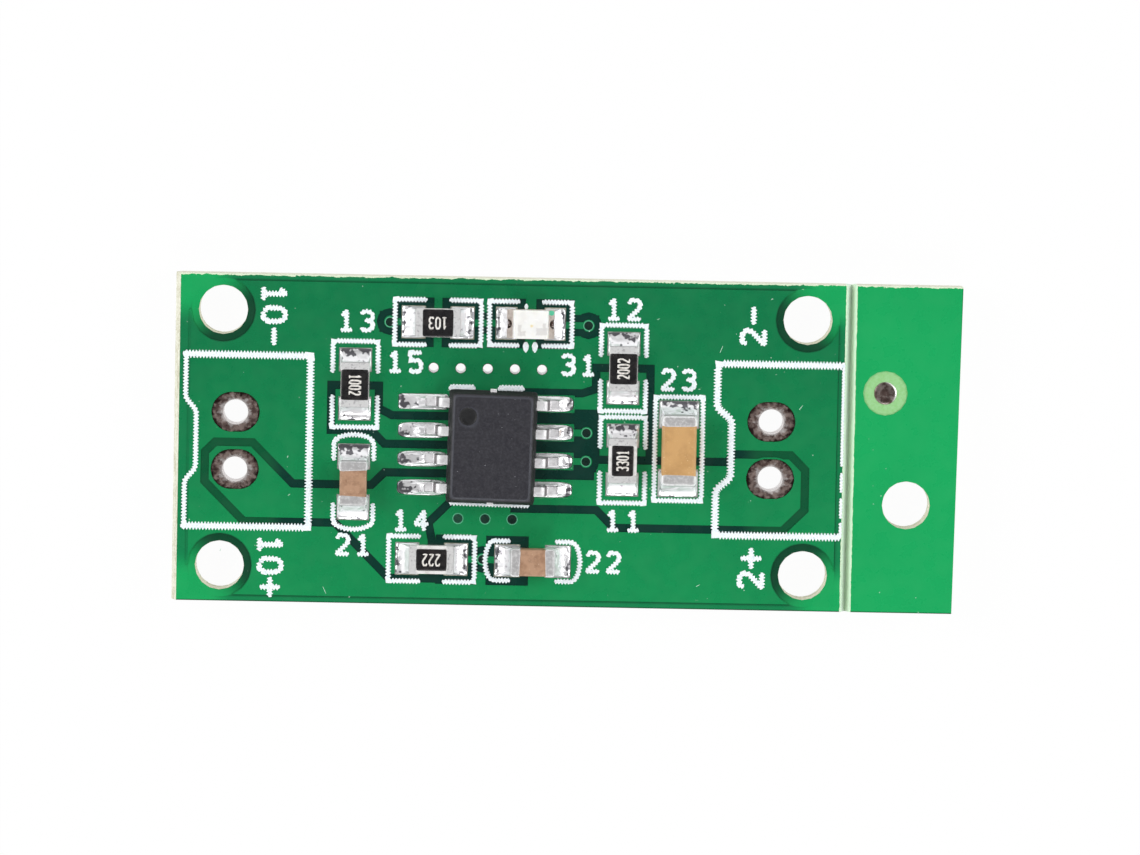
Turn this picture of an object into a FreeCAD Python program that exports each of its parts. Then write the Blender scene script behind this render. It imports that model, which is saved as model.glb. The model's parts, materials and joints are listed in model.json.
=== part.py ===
"""Charger module for nickel metal hydride cells: a scored printed board, its break-off rail and its parts.

The row frame has +X along the board, +Y across it and +Z out of the component side. Its origin is the
middle of the underside. Everything printed, drilled or soldered is laid out from the centre of the four
mounting holes, which the sheet places with layout_inset and layout_y.
"""
import FreeCAD
import Part
import Sketcher
import math
import os
from FreeCAD import Rotation, Vector

DIMENSIONS = {
    "Board and rail": {
        "board_length": (29.9, "snapped edge to the middle of the score line"),
        "board_width": (14.52, "across the board"),
        "rail_width": (4.93, "middle of the score line to the rail's far corner"),
        "rail_skew": (0.2, "how much narrower the rail is at its lower corner"),
        "laminate_thickness": (1.46, "glass and resin core"),
        "copper_thickness": (0.03, "foil with its plating"),
        "mask_thickness": (0.04, "solder mask"),
        "ink_thickness": (0.02, "legend ink above the mask"),
        "tin_thickness": (0.03, "tin on the bare lands"),
        "score_width": (0.44, "score line at the surface"),
        "score_web": (0.5, "laminate left between the two score lines"),
        "overshoot": (1.0, "how far a cut runs past the solid"),
    },
    "Layout origin": {
        "layout_inset": (15.05, "snapped edge to the middle of the mounting holes"),
        "layout_y": (0.0, "middle of the mounting holes above the board's middle"),
    },
    "Mounting, tooling and fiducial": {
        "mount_pitch_x": (25.86, "hole to hole along the board"),
        "mount_pitch_y": (11.34, "hole to hole across the board"),
        "mount_hole": (2.15, "bare mounting hole"),
        "mount_ring": (2.84, "copper-free ring round a mounting hole"),
        "tooling_hole": (2.1, "bare hole in the rail"),
        "tooling_x": (17.45, "tooling hole along the layout"),
        "tooling_y": (-2.46, "tooling hole across the layout"),
        "fiducial_dot": (1.0, "tinned dot"),
        "fiducial_opening": (1.98, "mask opening round the dot"),
        "fiducial_x": (16.43, "dot along the layout"),
        "fiducial_y": (2.5, "dot across the layout"),
    },
    "Terminals": {
        "terminal_pitch": (2.54, "positive to negative hole"),
        "terminal_drill": (1.2, "drilled hole"),
        "terminal_barrel": (0.05, "plating and tin in a terminal hole"),
        "terminal_land_length": (2.18, "bare oval along the board"),
        "terminal_land_width": (1.83, "bare oval across the board"),
        "input_x": (-12.32, "input holes along the layout"),
        "battery_x": (11.4, "battery holes along the layout"),
        "terminal_y": (-0.13, "middle of each pair across the layout"),
    },
    "Vias": {
        "heat_via_drill": (0.46, "row of larger vias"),
        "heat_via_pitch": (1.2, "via to via in a row"),
        "heat_via_x": (-1.2, "middle via of both rows along the layout"),
        "open_row_y": (3.26, "open row across the layout"),
        "tented_row_y": (-3.41, "tented row across the layout"),
        "via_barrel": (0.03, "plating in a via"),
        "signal_via_drill": (0.28, "small tented via"),
        "signal_via_land": (0.56, "annular land of a small via"),
    },
    "Copper pattern": {
        "gap_width": (0.37, "isolation line in the pour"),
        "island_gap": (0.42, "isolation round a pad"),
        "track_gap": (0.32, "isolation round a signal track or the land of a small via"),
        "track_width": (0.3, "signal track"),
        "mask_margin": (0.05, "mask kept back from a pad"),
        "pour_side_inset": (0.294, "pour kept back from the long sides"),
        "pour_snapped_inset": (0.62, "pour kept back from the snapped edge"),
        "pour_score_inset": (0.54, "pour kept back from the score line"),
    },
    "Supply area round the positive input hole": {
        "supply_left": (-13.65, "its left side"),
        "supply_right": (-9.75, "its right side above the middle"),
        "supply_top": (-0.2, "its upper side"),
        "supply_bottom": (-3.7, "its lower side"),
        "supply_upper_bevel": (0.45, "bevel of its upper corner"),
        "supply_lower_bevel": (1.75, "bevel of its lower corner"),
        "supply_neck_y": (-0.12, "line across the first capacitor, from the part's middle"),
        "supply_end_x": (-2.6, "its end under the package"),
        "supply_tail_x": (-1.9, "foot of its slanted line, from the fourth resistor"),
        "supply_tail_low": (-0.87, "the line below the fourth resistor's middle"),
        "supply_tail_high": (0.83, "the line above the fourth resistor's middle"),
        "supply_tail_bevel": (1.1, "slanted line between that resistor and the package"),
    },
    "Sense area of the third resistor": {
        "sense_left": (-1.04, "from the resistor"),
        "sense_right": (1.06, "from the resistor"),
        "sense_top": (-0.05, "from the resistor"),
        "sense_bottom": (-2.05, "from the resistor"),
        "sense_end_x": (-2.65, "its end under the package"),
        "sense_bevel": (0.6, "its slanted corners"),
    },
    "Feedback area of the first and second resistors": {
        "feedback_left": (0.15, "its end under the package"),
        "feedback_top": (2.25, "its upper side"),
        "feedback_bottom": (1.35, "its lower side"),
        "feedback_neck_x": (3.6, "where it opens towards the resistors"),
        "feedback_half": (1.2, "its sides from the resistors' middles"),
    },
    "Battery area round the positive battery hole": {
        "battery_left": (9.8, "its left side above the middle"),
        "battery_right": (12.95, "its right side"),
        "battery_top": (-0.33, "its upper side"),
        "battery_bottom": (-3.7, "its lower side"),
        "battery_upper_bevel": (0.65, "bevel of its upper corner"),
        "battery_lower_bevel": (0.95, "bevel of its lower corner"),
        "battery_slope": (0.33, "slanted step at its upper side"),
        "battery_neck_x": (4.5, "foot of the slanted line under the package"),
        "battery_neck_bevel": (0.78, "that slanted line"),
        "battery_end_x": (0.1, "its end under the package"),
        "battery_start_x": (1.2, "its first point at the lower right lead"),
    },
    "Islands beside the leads": {
        "zone_right": (3.6, "right side of the copper-free zone"),
        "zone_top": (1.4, "upper side of the zone"),
        "zone_bottom": (-1.6, "lower side of the zone"),
        "lead_via_gap": (0.6, "end of a chip land to its via"),
        "resistor_5_via_gap": (0.55, "end of a land to its via"),
        "led_via_gap": (1.06, "end of a land to its via"),
        "capacitor_2_via_gap": (0.57, "end of a land to its via"),
        "via_step": (0.04, "two of those vias beside their part's middle line"),
    },
    "Chip": {
        "chip_x": (-0.967, "package along the layout"),
        "chip_y": (-0.155, "package across the layout"),
        "chip_turn": (-1.0, "package turned on its lands, degrees"),
        "chip_width": (3.9, "moulding along the board, at the parting line"),
        "chip_length": (5.0, "moulding across the board, at the parting line"),
        "chip_height": (1.42, "moulding from underside to top"),
        "chip_standoff": (0.13, "lands to moulding"),
        "chip_draft": (12.0, "slope of the moulding's sides, degrees"),
        "chip_edge": (0.08, "bevel of the top edge"),
        "dimple_diameter": (0.82, "first-lead dimple"),
        "dimple_depth": (0.07, "first-lead dimple"),
        "dimple_x": (-1.1, "dimple from the package's middle"),
        "dimple_y": (1.37, "dimple from the package's middle"),
        "lead_pitch": (1.27, "lead to lead"),
        "lead_span": (6.0, "tip to tip"),
        "lead_width": (0.42, "lead"),
        "lead_thickness": (0.2, "lead"),
        "lead_shoulder": (0.42, "moulding to the knee"),
        "lead_lean": (0.12, "knee to heel, outwards"),
        "lead_bend": (0.08, "inner radius of a bend"),
        "lead_embed": (0.3, "lead held in the moulding"),
        "tie_width": (0.34, "cut tie bar in each end of the moulding"),
        "tie_embed": (0.35, "tie bar held in the moulding"),
        "tie_stub": (0.02, "tie bar outside the moulding"),
        "chip_land_x": (-1.25, "middle of the lands along the layout"),
        "chip_land_y": (-0.148, "middle of the lands across the layout"),
        "chip_land_span": (7.74, "outer ends of the lands"),
        "chip_land_length": (2.2, "land"),
        "chip_land_width": (0.68, "land"),
        "chip_fillet": (0.22, "height of the solder at a lead"),
        "chip_fillet_toe": (0.15, "solder kept back from both ends of a land"),
        "chip_fillet_side": (0.05, "solder kept back from the sides of a land"),
        "chip_fillet_waist": (0.45, "where the slope steepens, as a share of the height"),
    },
    "Chip resistors": {
        "resistor_length": (2.0, "overall"),
        "resistor_width": (1.25, "overall"),
        "resistor_height": (0.5, "overall"),
        "resistor_cap": (0.36, "end cap along the part"),
        "resistor_cap_wall": (0.03, "end cap plating"),
        "resistor_cap_edge": (0.024, "bevel of an end cap"),
        "resistor_coat": (0.04, "black overcoat"),
        "resistor_coat_slope": (30.0, "slope of the overcoat's rim, degrees"),
        "resistor_land_span": (3.13, "outer ends of the lands"),
        "resistor_land_length": (0.97, "land"),
        "resistor_land_width": (1.36, "land"),
        "resistor_fillet": (0.4, "height of the solder at an end"),
        "narrow_coat_width": (0.96, "overcoat that leaves a pale border"),
    },
    "Small capacitors": {
        "small_capacitor_length": (2.0, "overall"),
        "small_capacitor_width": (1.25, "overall"),
        "small_capacitor_height": (1.0, "overall"),
        "small_capacitor_cap": (0.5, "end cap along the part"),
        "small_capacitor_cap_wall": (0.03, "end cap plating"),
        "small_capacitor_cap_edge": (0.048, "bevel of an end cap"),
        "small_capacitor_land_span": (3.3, "outer ends of the lands"),
        "small_capacitor_land_length": (1.05, "land"),
        "small_capacitor_land_width": (1.36, "land"),
        "small_capacitor_fillet": (0.55, "height of the solder at an end"),
    },
    "Large capacitor": {
        "large_capacitor_length": (3.15, "overall"),
        "large_capacitor_width": (1.58, "overall"),
        "large_capacitor_height": (1.3, "overall"),
        "large_capacitor_cap": (0.6, "end cap along the part"),
        "large_capacitor_cap_wall": (0.035, "end cap plating"),
        "large_capacitor_cap_edge": (0.056, "bevel of an end cap"),
        "large_capacitor_land_span": (4.19, "outer ends of the lands"),
        "large_capacitor_land_length": (1.15, "land"),
        "large_capacitor_land_width": (1.7, "land"),
        "large_capacitor_fillet": (0.7, "height of the solder at an end"),
    },
    "Indicator": {
        "led_length": (2.1, "overall"),
        "led_width": (1.28, "overall"),
        "led_base_height": (0.34, "base"),
        "led_height": (0.8, "base and lens"),
        "led_lens_length": (1.46, "lens at its foot"),
        "led_lens_draft": (8.0, "slope of the lens ends, degrees"),
        "led_lens_edge": (0.05, "bevel of the lens top"),
        "led_cap": (0.3, "plated end along the part"),
        "led_cap_wall": (0.03, "end plating"),
        "led_notch": (0.5, "half-round notch in each end"),
        "led_die_size": (0.3, "light-emitting die"),
        "led_die_height": (0.15, "light-emitting die"),
        "led_mark": (0.2, "polarity mark"),
        "led_mark_shift": (0.02, "the mark outwards from the middle of the bare end"),
        "led_land_span": (3.0, "outer ends of the lands"),
        "led_land_length": (0.85, "land"),
        "led_land_width": (1.36, "land"),
        "led_fillet": (0.22, "height of the solder at an end"),
    },
    "Soldering": {
        "solder_film": (0.04, "solder under a cap or a lead"),
        "solder_skirt": (0.03, "solder round the top of a fillet"),
        "solder_lip": (0.01, "solder beyond the sides of a part at the top of a fillet"),
        "solder_waist_height": (0.35, "where a slope steepens, as a share of its height"),
        "solder_waist_reach": (0.42, "the same, as a share of its way to the land's end"),
    },
    "Legend": {
        "legend_line": (0.2, "frame line"),
        "legend_bold": (0.34, "terminal outline"),
        "frame_length": (3.82, "frame of a small part"),
        "frame_width": (2.04, "frame of a small part"),
        "frame_gap": (0.96, "opening in the long sides of a frame"),
        "large_frame_length": (4.81, "closed frame of the large capacitor"),
        "large_frame_width": (2.31, "closed frame of the large capacitor"),
        "terminal_box_length": (5.57, "terminal outline"),
        "terminal_box_height": (7.54, "terminal outline"),
        "input_box_reach": (3.27, "input holes to the outline's bold side"),
        "battery_box_reach": (2.38, "battery holes to the outline's bold side"),
        "terminal_notch": (0.55, "depth of the notches in the outline"),
        "notch_mouth": (3.5, "length of a notch at the outline"),
        "notch_floor": (2.5, "length of a notch at its floor"),
        "notch_rise": (0.03, "middle of a notch above the holes' middle"),
        "led_frame_length": (3.66, "frame of the indicator"),
        "led_frame_width": (1.84, "frame of the indicator"),
        "led_leg_pitch": (0.42, "two short legs below the indicator's frame"),
        "led_leg_top": (-0.92, "their upper end below the indicator's middle"),
        "led_leg_foot": (-1.15, "their lower end below the indicator's middle"),
        "bowed_frame_length": (4.26, "frame of a small capacitor, with bowed ends"),
        "bowed_frame_width": (1.84, "frame of a small capacitor"),
        "bowed_frame_gap": (1.9, "opening in the long sides of a bowed frame"),
        "frame_bow": (0.45, "how far an end is bowed, as a share of the half width"),
        "chip_line_inset": (0.1, "line below the package, kept back from its sides"),
        "chip_arc_length": (1.12, "short line above the package"),
        "chip_arc_left": (-1.31, "middle of the left one, from the package"),
        "chip_arc_right": (0.82, "middle of the right one, from the package"),
    },
    "Places on the layout": {
        "resistor_1_x": (4.84, ""), "resistor_1_y": (-0.68, ""), "resistor_1_turn": (90.0, ""),
        "resistor_2_x": (4.8, ""), "resistor_2_y": (3.395, ""), "resistor_2_turn": (90.0, ""),
        "resistor_3_x": (-7.06, ""), "resistor_3_y": (2.47, ""), "resistor_3_turn": (-90.0, ""),
        "resistor_4_x": (-3.54, ""), "resistor_4_y": (-5.235, ""), "resistor_4_turn": (180.0, ""),
        "resistor_5_x": (-3.44, ""), "resistor_5_y": (5.27, ""), "resistor_5_turn": (180.0, ""),
        "capacitor_1_x": (-7.06, ""), "capacitor_1_y": (-1.87, ""), "capacitor_1_turn": (90.0, ""),
        "capacitor_2_x": (0.94, ""), "capacitor_2_y": (-5.25, ""), "capacitor_2_turn": (0.0, ""),
        "capacitor_3_x": (7.31, ""), "capacitor_3_y": (-0.14, ""), "capacitor_3_turn": (90.0, ""),
        "led_x": (0.66, ""), "led_y": (5.29, ""), "led_turn": (0.0, ""),
    },
}

RESISTORS = ["resistor_1", "resistor_2", "resistor_3", "resistor_4", "resistor_5"]
NARROW_COATS = ["resistor_1", "resistor_4"]
CAPACITORS = {
    "capacitor_1": "small_capacitor",
    "capacitor_2": "small_capacitor",
    "capacitor_3": "large_capacitor",
}
STYLES = {name: "resistor" for name in RESISTORS} | CAPACITORS | {"led": "led"}
LEADS_PER_SIDE = 4
LEAD_NUMBERS = range(1, 2 * LEADS_PER_SIDE + 1)
MIDDLE_ROW = (LEADS_PER_SIDE - 1) / 2
OPEN_VIA_STEPS = range(-2, 3)
TENTED_VIA_STEPS = range(-1, 2)

# Straight sides that stand in for a small round outline
VIA_SIDES = 8
OVAL_STEPS = 6
TERMINAL_SIDES = 16
RING_SIDES = 16
NOTCH_SIDES = 12
VIA_LAND_SIDES = 12
BOW_SHARES = (0.25, 0.5, 0.75)

# Layers, measured up from the underside
LAMINATE_FOOT = "(dims.mask_thickness + dims.copper_thickness)"
LAMINATE_TOP = f"({LAMINATE_FOOT} + dims.laminate_thickness)"
LAND_TOP = f"({LAMINATE_TOP} + dims.copper_thickness)"
SEAT = f"({LAND_TOP} + dims.solder_film)"
LAYOUT_X = "(dims.layout_inset - (dims.board_length + dims.rail_width) / 2)"
CHIP_FOOT = "dims.chip_standoff"

# The wire holes, each a pair of expressions
TERMINALS = {
    f"{side}_hole_{pole}": (f"{LAYOUT_X} + dims.{side}_x",
                            f"dims.layout_y + dims.terminal_y {sign} dims.terminal_pitch / 2")
    for side in ("input", "battery") for pole, sign in (("negative", "+"), ("positive", "-"))
}

# Lands and leads that stand alone in the pour
ISLAND_LANDS = [("resistor_5", -1), ("resistor_5", 1), ("led", -1), ("led", 1), ("resistor_4", -1),
                ("capacitor_2", -1)]
ISLAND_LEADS = [6, 7]

# Shapes that only serve to make another one
SHAPERS = ("board_blank", "via_drills", "barrel", "chip_solder_mounds", "chip_leads")

doc = FreeCAD.newDocument("charger_module")
sheet = doc.addObject("Spreadsheet::Sheet", "dims")


def fill_sheet():
    """Write every driving dimension with its meaning, one row each, under a heading for its group."""
    row = 1
    for group, entries in DIMENSIONS.items():
        sheet.set(f"A{row}", group)
        row += 1
        for alias, (number, meaning) in entries.items():
            sheet.set(f"A{row}", meaning or alias.replace("_", " "))
            sheet.set(f"B{row}", str(number))
            sheet.setAlias(f"B{row}", alias)
            row += 1
    doc.recompute()


def size(alias):
    """One driving dimension as a number."""
    return float(sheet.get(alias))


def value(expression):
    """What an expression over the sheet comes to, as a number."""
    return float(sheet.evalExpression(expression))


def add_body(name):
    """An empty body with its own label."""
    body = doc.addObject("PartDesign::Body", name)
    body.Label = name
    return body


def origin_feature(body, role):
    """The plane or axis of the body's own origin that has this role."""
    return next(item for item in body.Origin.OriginFeatures if item.Role == role)


def add_sketch(body, name, role="XY_Plane", lift="0"):
    """A sketch on one of the body's origin planes, lifted along that plane's normal."""
    sketch = body.newObject("Sketcher::SketchObject", name)
    sketch.AttachmentSupport = (origin_feature(body, role), [""])
    sketch.MapMode = "FlatFace"
    sketch.setExpression("AttachmentOffset.Base.z", lift)
    return sketch


def lock(sketch, kind, *arguments, to):
    """Add one dimension to a sketch and bind it to an expression."""
    index = sketch.addConstraint(Sketcher.Constraint(kind, *arguments, value(to)))
    sketch.setExpression(f"Constraints[{index}]", to)


def draw_ring(sketch, corners):
    """A closed ring of straight lines through corners, each one a pair of expressions."""
    first = sketch.GeometryCount
    points = [Vector(value(across), value(up), 0) for across, up in corners]
    sketch.addGeometry([Part.LineSegment(start, end) for start, end in zip(points, points[1:] + points[:1])])
    ties = [Sketcher.Constraint("Coincident", first + index, 2, first + (index + 1) % len(corners), 1)
            for index in range(len(corners))]
    for index, point in enumerate(points):
        ties.append(Sketcher.Constraint("DistanceX", -1, 1, first + index, 1, point.x))
        ties.append(Sketcher.Constraint("DistanceY", -1, 1, first + index, 1, point.y))
    lock_start = sketch.ConstraintCount + len(corners)
    sketch.addConstraint(ties)
    for index, pair in enumerate(corners):
        for step, expression in enumerate(pair):
            sketch.setExpression(f"Constraints[{lock_start + 2 * index + step}]", expression)


def draw_box(sketch, low_x, high_x, low_y, high_y):
    """A rectangle between four expressions."""
    draw_ring(sketch, [(low_x, low_y), (high_x, low_y), (high_x, high_y), (low_x, high_y)])


def draw_middle_box(sketch, length, width):
    """A rectangle about the sketch's origin."""
    draw_box(sketch, f"-({length}) / 2", f"({length}) / 2", f"-({width}) / 2", f"({width}) / 2")


def draw_circle(sketch, across, up, diameter):
    """A circle at a pair of expressions."""
    centre = Vector(value(across), value(up), 0)
    index = sketch.addGeometry(Part.Circle(centre, Vector(0, 0, 1), value(diameter) / 2), False)
    lock(sketch, "DistanceX", -1, 1, index, 3, to=across)
    lock(sketch, "DistanceY", -1, 1, index, 3, to=up)
    lock(sketch, "Diameter", index, to=diameter)


def draw_many_sided(sketch, across, up, diameter, sides):
    """A regular ring of straight sides whose corners lie on a circle."""
    turn = 360 / sides
    draw_ring(sketch, [(f"{across} + {diameter} / 2 * cos({step * turn} deg)",
                        f"{up} + {diameter} / 2 * sin({step * turn} deg)") for step in range(sides)])


def add_prism(place_pair, foot, height, diameter):
    """An upright prism that stands in for a small round post or hole."""
    prism = doc.addObject("Part::Prism", "prism")
    prism.Polygon = VIA_SIDES
    prism.setExpression("Circumradius", f"{diameter} / 2")
    prism.setExpression("Height", height)
    place(prism, place_pair[0], place_pair[1], foot)
    return prism


def compound(name, parts):
    """Several objects kept together as one."""
    group = doc.addObject("Part::Compound", name)
    group.Links = parts
    return group


def cut(name, base, tool):
    """One object with another taken out of it."""
    result = doc.addObject("Part::Cut", name)
    result.Base = base
    result.Tool = tool
    return result


def draw_oval(sketch, length, width):
    """An oval about the sketch's origin, its round ends drawn with short straight sides."""
    reach = f"({length} - {width}) / 2"
    corners = []
    for side, start in (("", -90), ("-", 90)):
        for step in range(OVAL_STEPS + 1):
            angle = start + 180 * step / OVAL_STEPS
            corners.append((f"{side}{reach} + {width} / 2 * cos({angle} deg)",
                            f"{width} / 2 * sin({angle} deg)"))
    draw_ring(sketch, corners)


def pad(body, sketch, length, down=False, middle=False, slope=None):
    """Raise a sketch by a length, downwards, to both sides or with sloping walls where asked."""
    feature = body.newObject("PartDesign::Pad", "Pad")
    feature.Profile = sketch
    feature.setExpression("Length", length)
    feature.Reversed = down
    if middle:
        feature.SideType = "Symmetric"
    if slope:
        feature.setExpression("TaperAngle", slope)
    return feature


def pocket(body, sketch, length, reversed_cut=False, middle=False):
    """Cut a sketch into the body, and stop if it cuts nothing."""
    doc.recompute()
    before = body.Shape.Volume
    feature = body.newObject("PartDesign::Pocket", "Pocket")
    feature.Profile = sketch
    feature.setExpression("Length", length)
    feature.Reversed = reversed_cut
    if middle:
        feature.SideType = "Symmetric"
    doc.recompute()
    if not body.Shape.Volume < before:
        raise RuntimeError(f"a pocket cuts nothing from {body.Label}")
    return feature


def place(body, x="0", y="0", z="0", turn="0"):
    """Bind where a body stands and how far it is turned about the upright axis."""
    body.Placement.Rotation = Rotation(Vector(0, 0, 1), 1)
    body.setExpression("Placement.Base.x", x)
    body.setExpression("Placement.Base.y", y)
    body.setExpression("Placement.Base.z", z)
    body.setExpression("Placement.Rotation.Angle", turn)


def place_on_layout(body, name, z=SEAT, turn=None):
    """Stand a body at the layout place that carries this name."""
    place(body, f"{LAYOUT_X} + dims.{name}_x", f"dims.layout_y + dims.{name}_y", z,
          turn or f"dims.{name}_turn")


def edges_where(shape, test):
    """Names of the straight edges whose two ends both pass a test."""
    return [f"Edge{index + 1}" for index, edge in enumerate(shape.Edges)
            if all(test(vertex.Point) for vertex in edge.Vertexes)]


def fillet(body, feature, radius, test):
    """Round the feature's edges whose ends pass a test."""
    doc.recompute()
    rounding = body.newObject("PartDesign::Fillet", "Fillet")
    rounding.Base = (feature, edges_where(feature.Shape, test))
    rounding.setExpression("Radius", radius)
    return rounding


def chamfer(body, feature, depth, test):
    """Bevel the feature's edges whose ends pass a test."""
    doc.recompute()
    bevel = body.newObject("PartDesign::Chamfer", "Chamfer")
    bevel.Base = (feature, edges_where(feature.Shape, test))
    bevel.setExpression("Size", depth)
    return bevel


def near(number, target):
    """Whether two lengths are the same to a hundredth of a micrometre."""
    return abs(number - target) < 1e-5


def make_laminate():
    """The core: outline with its slanted rail, bare and plated holes, score lines and a snapped edge."""
    body = add_body("board_blank")
    left = "-(dims.board_length + dims.rail_width) / 2"
    right = "(dims.board_length + dims.rail_width) / 2"
    half_width = "dims.board_width / 2"
    outline = add_sketch(body, "outline", lift=LAMINATE_FOOT)
    draw_ring(outline, [(left, f"-{half_width}"), (f"{right} - dims.rail_skew", f"-{half_width}"),
                        (right, half_width), (left, half_width)])
    pad(body, outline, "dims.laminate_thickness")

    holes = add_sketch(body, "holes", lift=LAMINATE_FOOT)
    for across in ("-", ""):
        for up in ("-", ""):
            draw_circle(holes, f"{LAYOUT_X} + {across}dims.mount_pitch_x / 2",
                        f"dims.layout_y + {up}dims.mount_pitch_y / 2", "dims.mount_hole")
    draw_circle(holes, f"{LAYOUT_X} + dims.tooling_x", "dims.layout_y + dims.tooling_y", "dims.tooling_hole")
    for across, up in TERMINALS.values():
        draw_many_sided(holes, across, up, "dims.terminal_drill", TERMINAL_SIDES)
    pocket(body, holes, "dims.laminate_thickness", reversed_cut=True)

    cut_depth = "(dims.laminate_thickness - dims.score_web) / 2"
    for foot, inwards in ((LAMINATE_FOOT, ""), (LAMINATE_TOP, "-")):
        tip = f"{foot} + {inwards}{cut_depth}"
        score = add_sketch(body, "score", "XZ_Plane")
        middle = f"{left} + dims.board_length"
        draw_ring(score, [(f"{middle} - dims.score_width / 2", foot),
                          (f"{middle} + dims.score_width / 2", foot), (middle, tip)])
        pocket(body, score, "dims.board_width + dims.overshoot", middle=True)
        snapped = add_sketch(body, "snapped_edge", "XZ_Plane")
        draw_ring(snapped, [(left, foot), (f"{left} + dims.score_width / 2", foot), (left, tip)])
        pocket(body, snapped, "dims.board_width + dims.overshoot", middle=True)

    drills = [(pair, "dims.heat_via_drill") for pair in open_heat_vias() + tented_heat_vias()]
    drills += [(pair, "dims.signal_via_drill") for pair in signal_vias()]
    cut("board_laminate", body, compound("via_drills", [
        add_prism(pair, LAMINATE_FOOT, "dims.laminate_thickness", drill) for pair, drill in drills]))


def heat_via_row(steps, row):
    """Places of one row of larger vias, as pairs of expressions."""
    return [(f"{LAYOUT_X} + dims.heat_via_x + {step} * dims.heat_via_pitch", f"dims.layout_y + dims.{row}")
            for step in steps]


def open_heat_vias():
    """The row above the chip, free of mask."""
    return heat_via_row(OPEN_VIA_STEPS, "open_row_y")


def tented_heat_vias():
    """The row below the chip, closed by the mask."""
    return heat_via_row(TENTED_VIA_STEPS, "tented_row_y")


def signal_vias():
    """Places of the small vias, each tied to the part or lead that its track serves."""
    lead_via_x = f"{LAYOUT_X} + dims.chip_land_x + dims.chip_land_span / 2 + dims.lead_via_gap"
    return [
        (f"{LAYOUT_X} + dims.resistor_5_x - dims.resistor_land_span / 2 - dims.resistor_5_via_gap",
         "dims.layout_y + dims.resistor_5_y"),
        (f"{LAYOUT_X} + dims.led_x + dims.led_land_span / 2 + dims.led_via_gap",
         "dims.layout_y + dims.led_y - dims.via_step"),
        (lead_via_x, "dims.layout_y + dims.chip_land_y + dims.lead_pitch / 2"),
        (lead_via_x, "dims.layout_y + dims.chip_land_y - dims.lead_pitch / 2"),
        (f"{LAYOUT_X} + dims.capacitor_2_x - dims.small_capacitor_land_span / 2 - dims.capacitor_2_via_gap",
         "dims.layout_y + dims.capacitor_2_y + dims.via_step"),
    ]


def make_terminal(name, across, up):
    """A plated hole: its barrel with a tinned oval land on either face."""
    body = add_body(name)
    for lift, down in ((LAND_TOP, False), ("dims.mask_thickness", True)):
        land = add_sketch(body, "land", lift=lift)
        draw_oval(land, "dims.terminal_land_length", "dims.terminal_land_width")
        pad(body, land, "dims.tin_thickness", down=down)
    barrel = add_sketch(body, "barrel", lift="dims.mask_thickness")
    draw_many_sided(barrel, "0", "0", "dims.terminal_drill", TERMINAL_SIDES)
    pad(body, barrel, f"{LAND_TOP} - dims.mask_thickness")
    bore = add_sketch(body, "bore")
    draw_circle(bore, "0", "0", "dims.terminal_drill - 2 * dims.terminal_barrel")
    pocket(body, bore, f"{LAND_TOP} + dims.tin_thickness", reversed_cut=True)
    place(body, across, up)


def make_vias(name, drill, through=(), tented=()):
    """Plated barrels: through both copper layers, or between them where the mask covers the hole."""
    barrels = []
    for places, foot, height in ((through, "dims.mask_thickness", f"{LAND_TOP} - dims.mask_thickness"),
                                 (tented, LAMINATE_FOOT, "dims.laminate_thickness")):
        for pair in places:
            bore = f"({drill} - 2 * dims.via_barrel)"
            barrels.append(cut("barrel", add_prism(pair, foot, height, drill),
                               add_prism(pair, foot, height, bore)))
    compound(name, barrels)


def make_fiducial():
    """The tinned dot on the rail that a placement camera looks for."""
    body = add_body("fiducial_dot")
    dot = add_sketch(body, "dot")
    draw_many_sided(dot, "0", "0", "dims.fiducial_dot", RING_SIDES)
    pad(body, dot, "dims.copper_thickness + dims.tin_thickness")
    place(body, f"{LAYOUT_X} + dims.fiducial_x", "dims.layout_y + dims.fiducial_y", LAMINATE_TOP)


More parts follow.
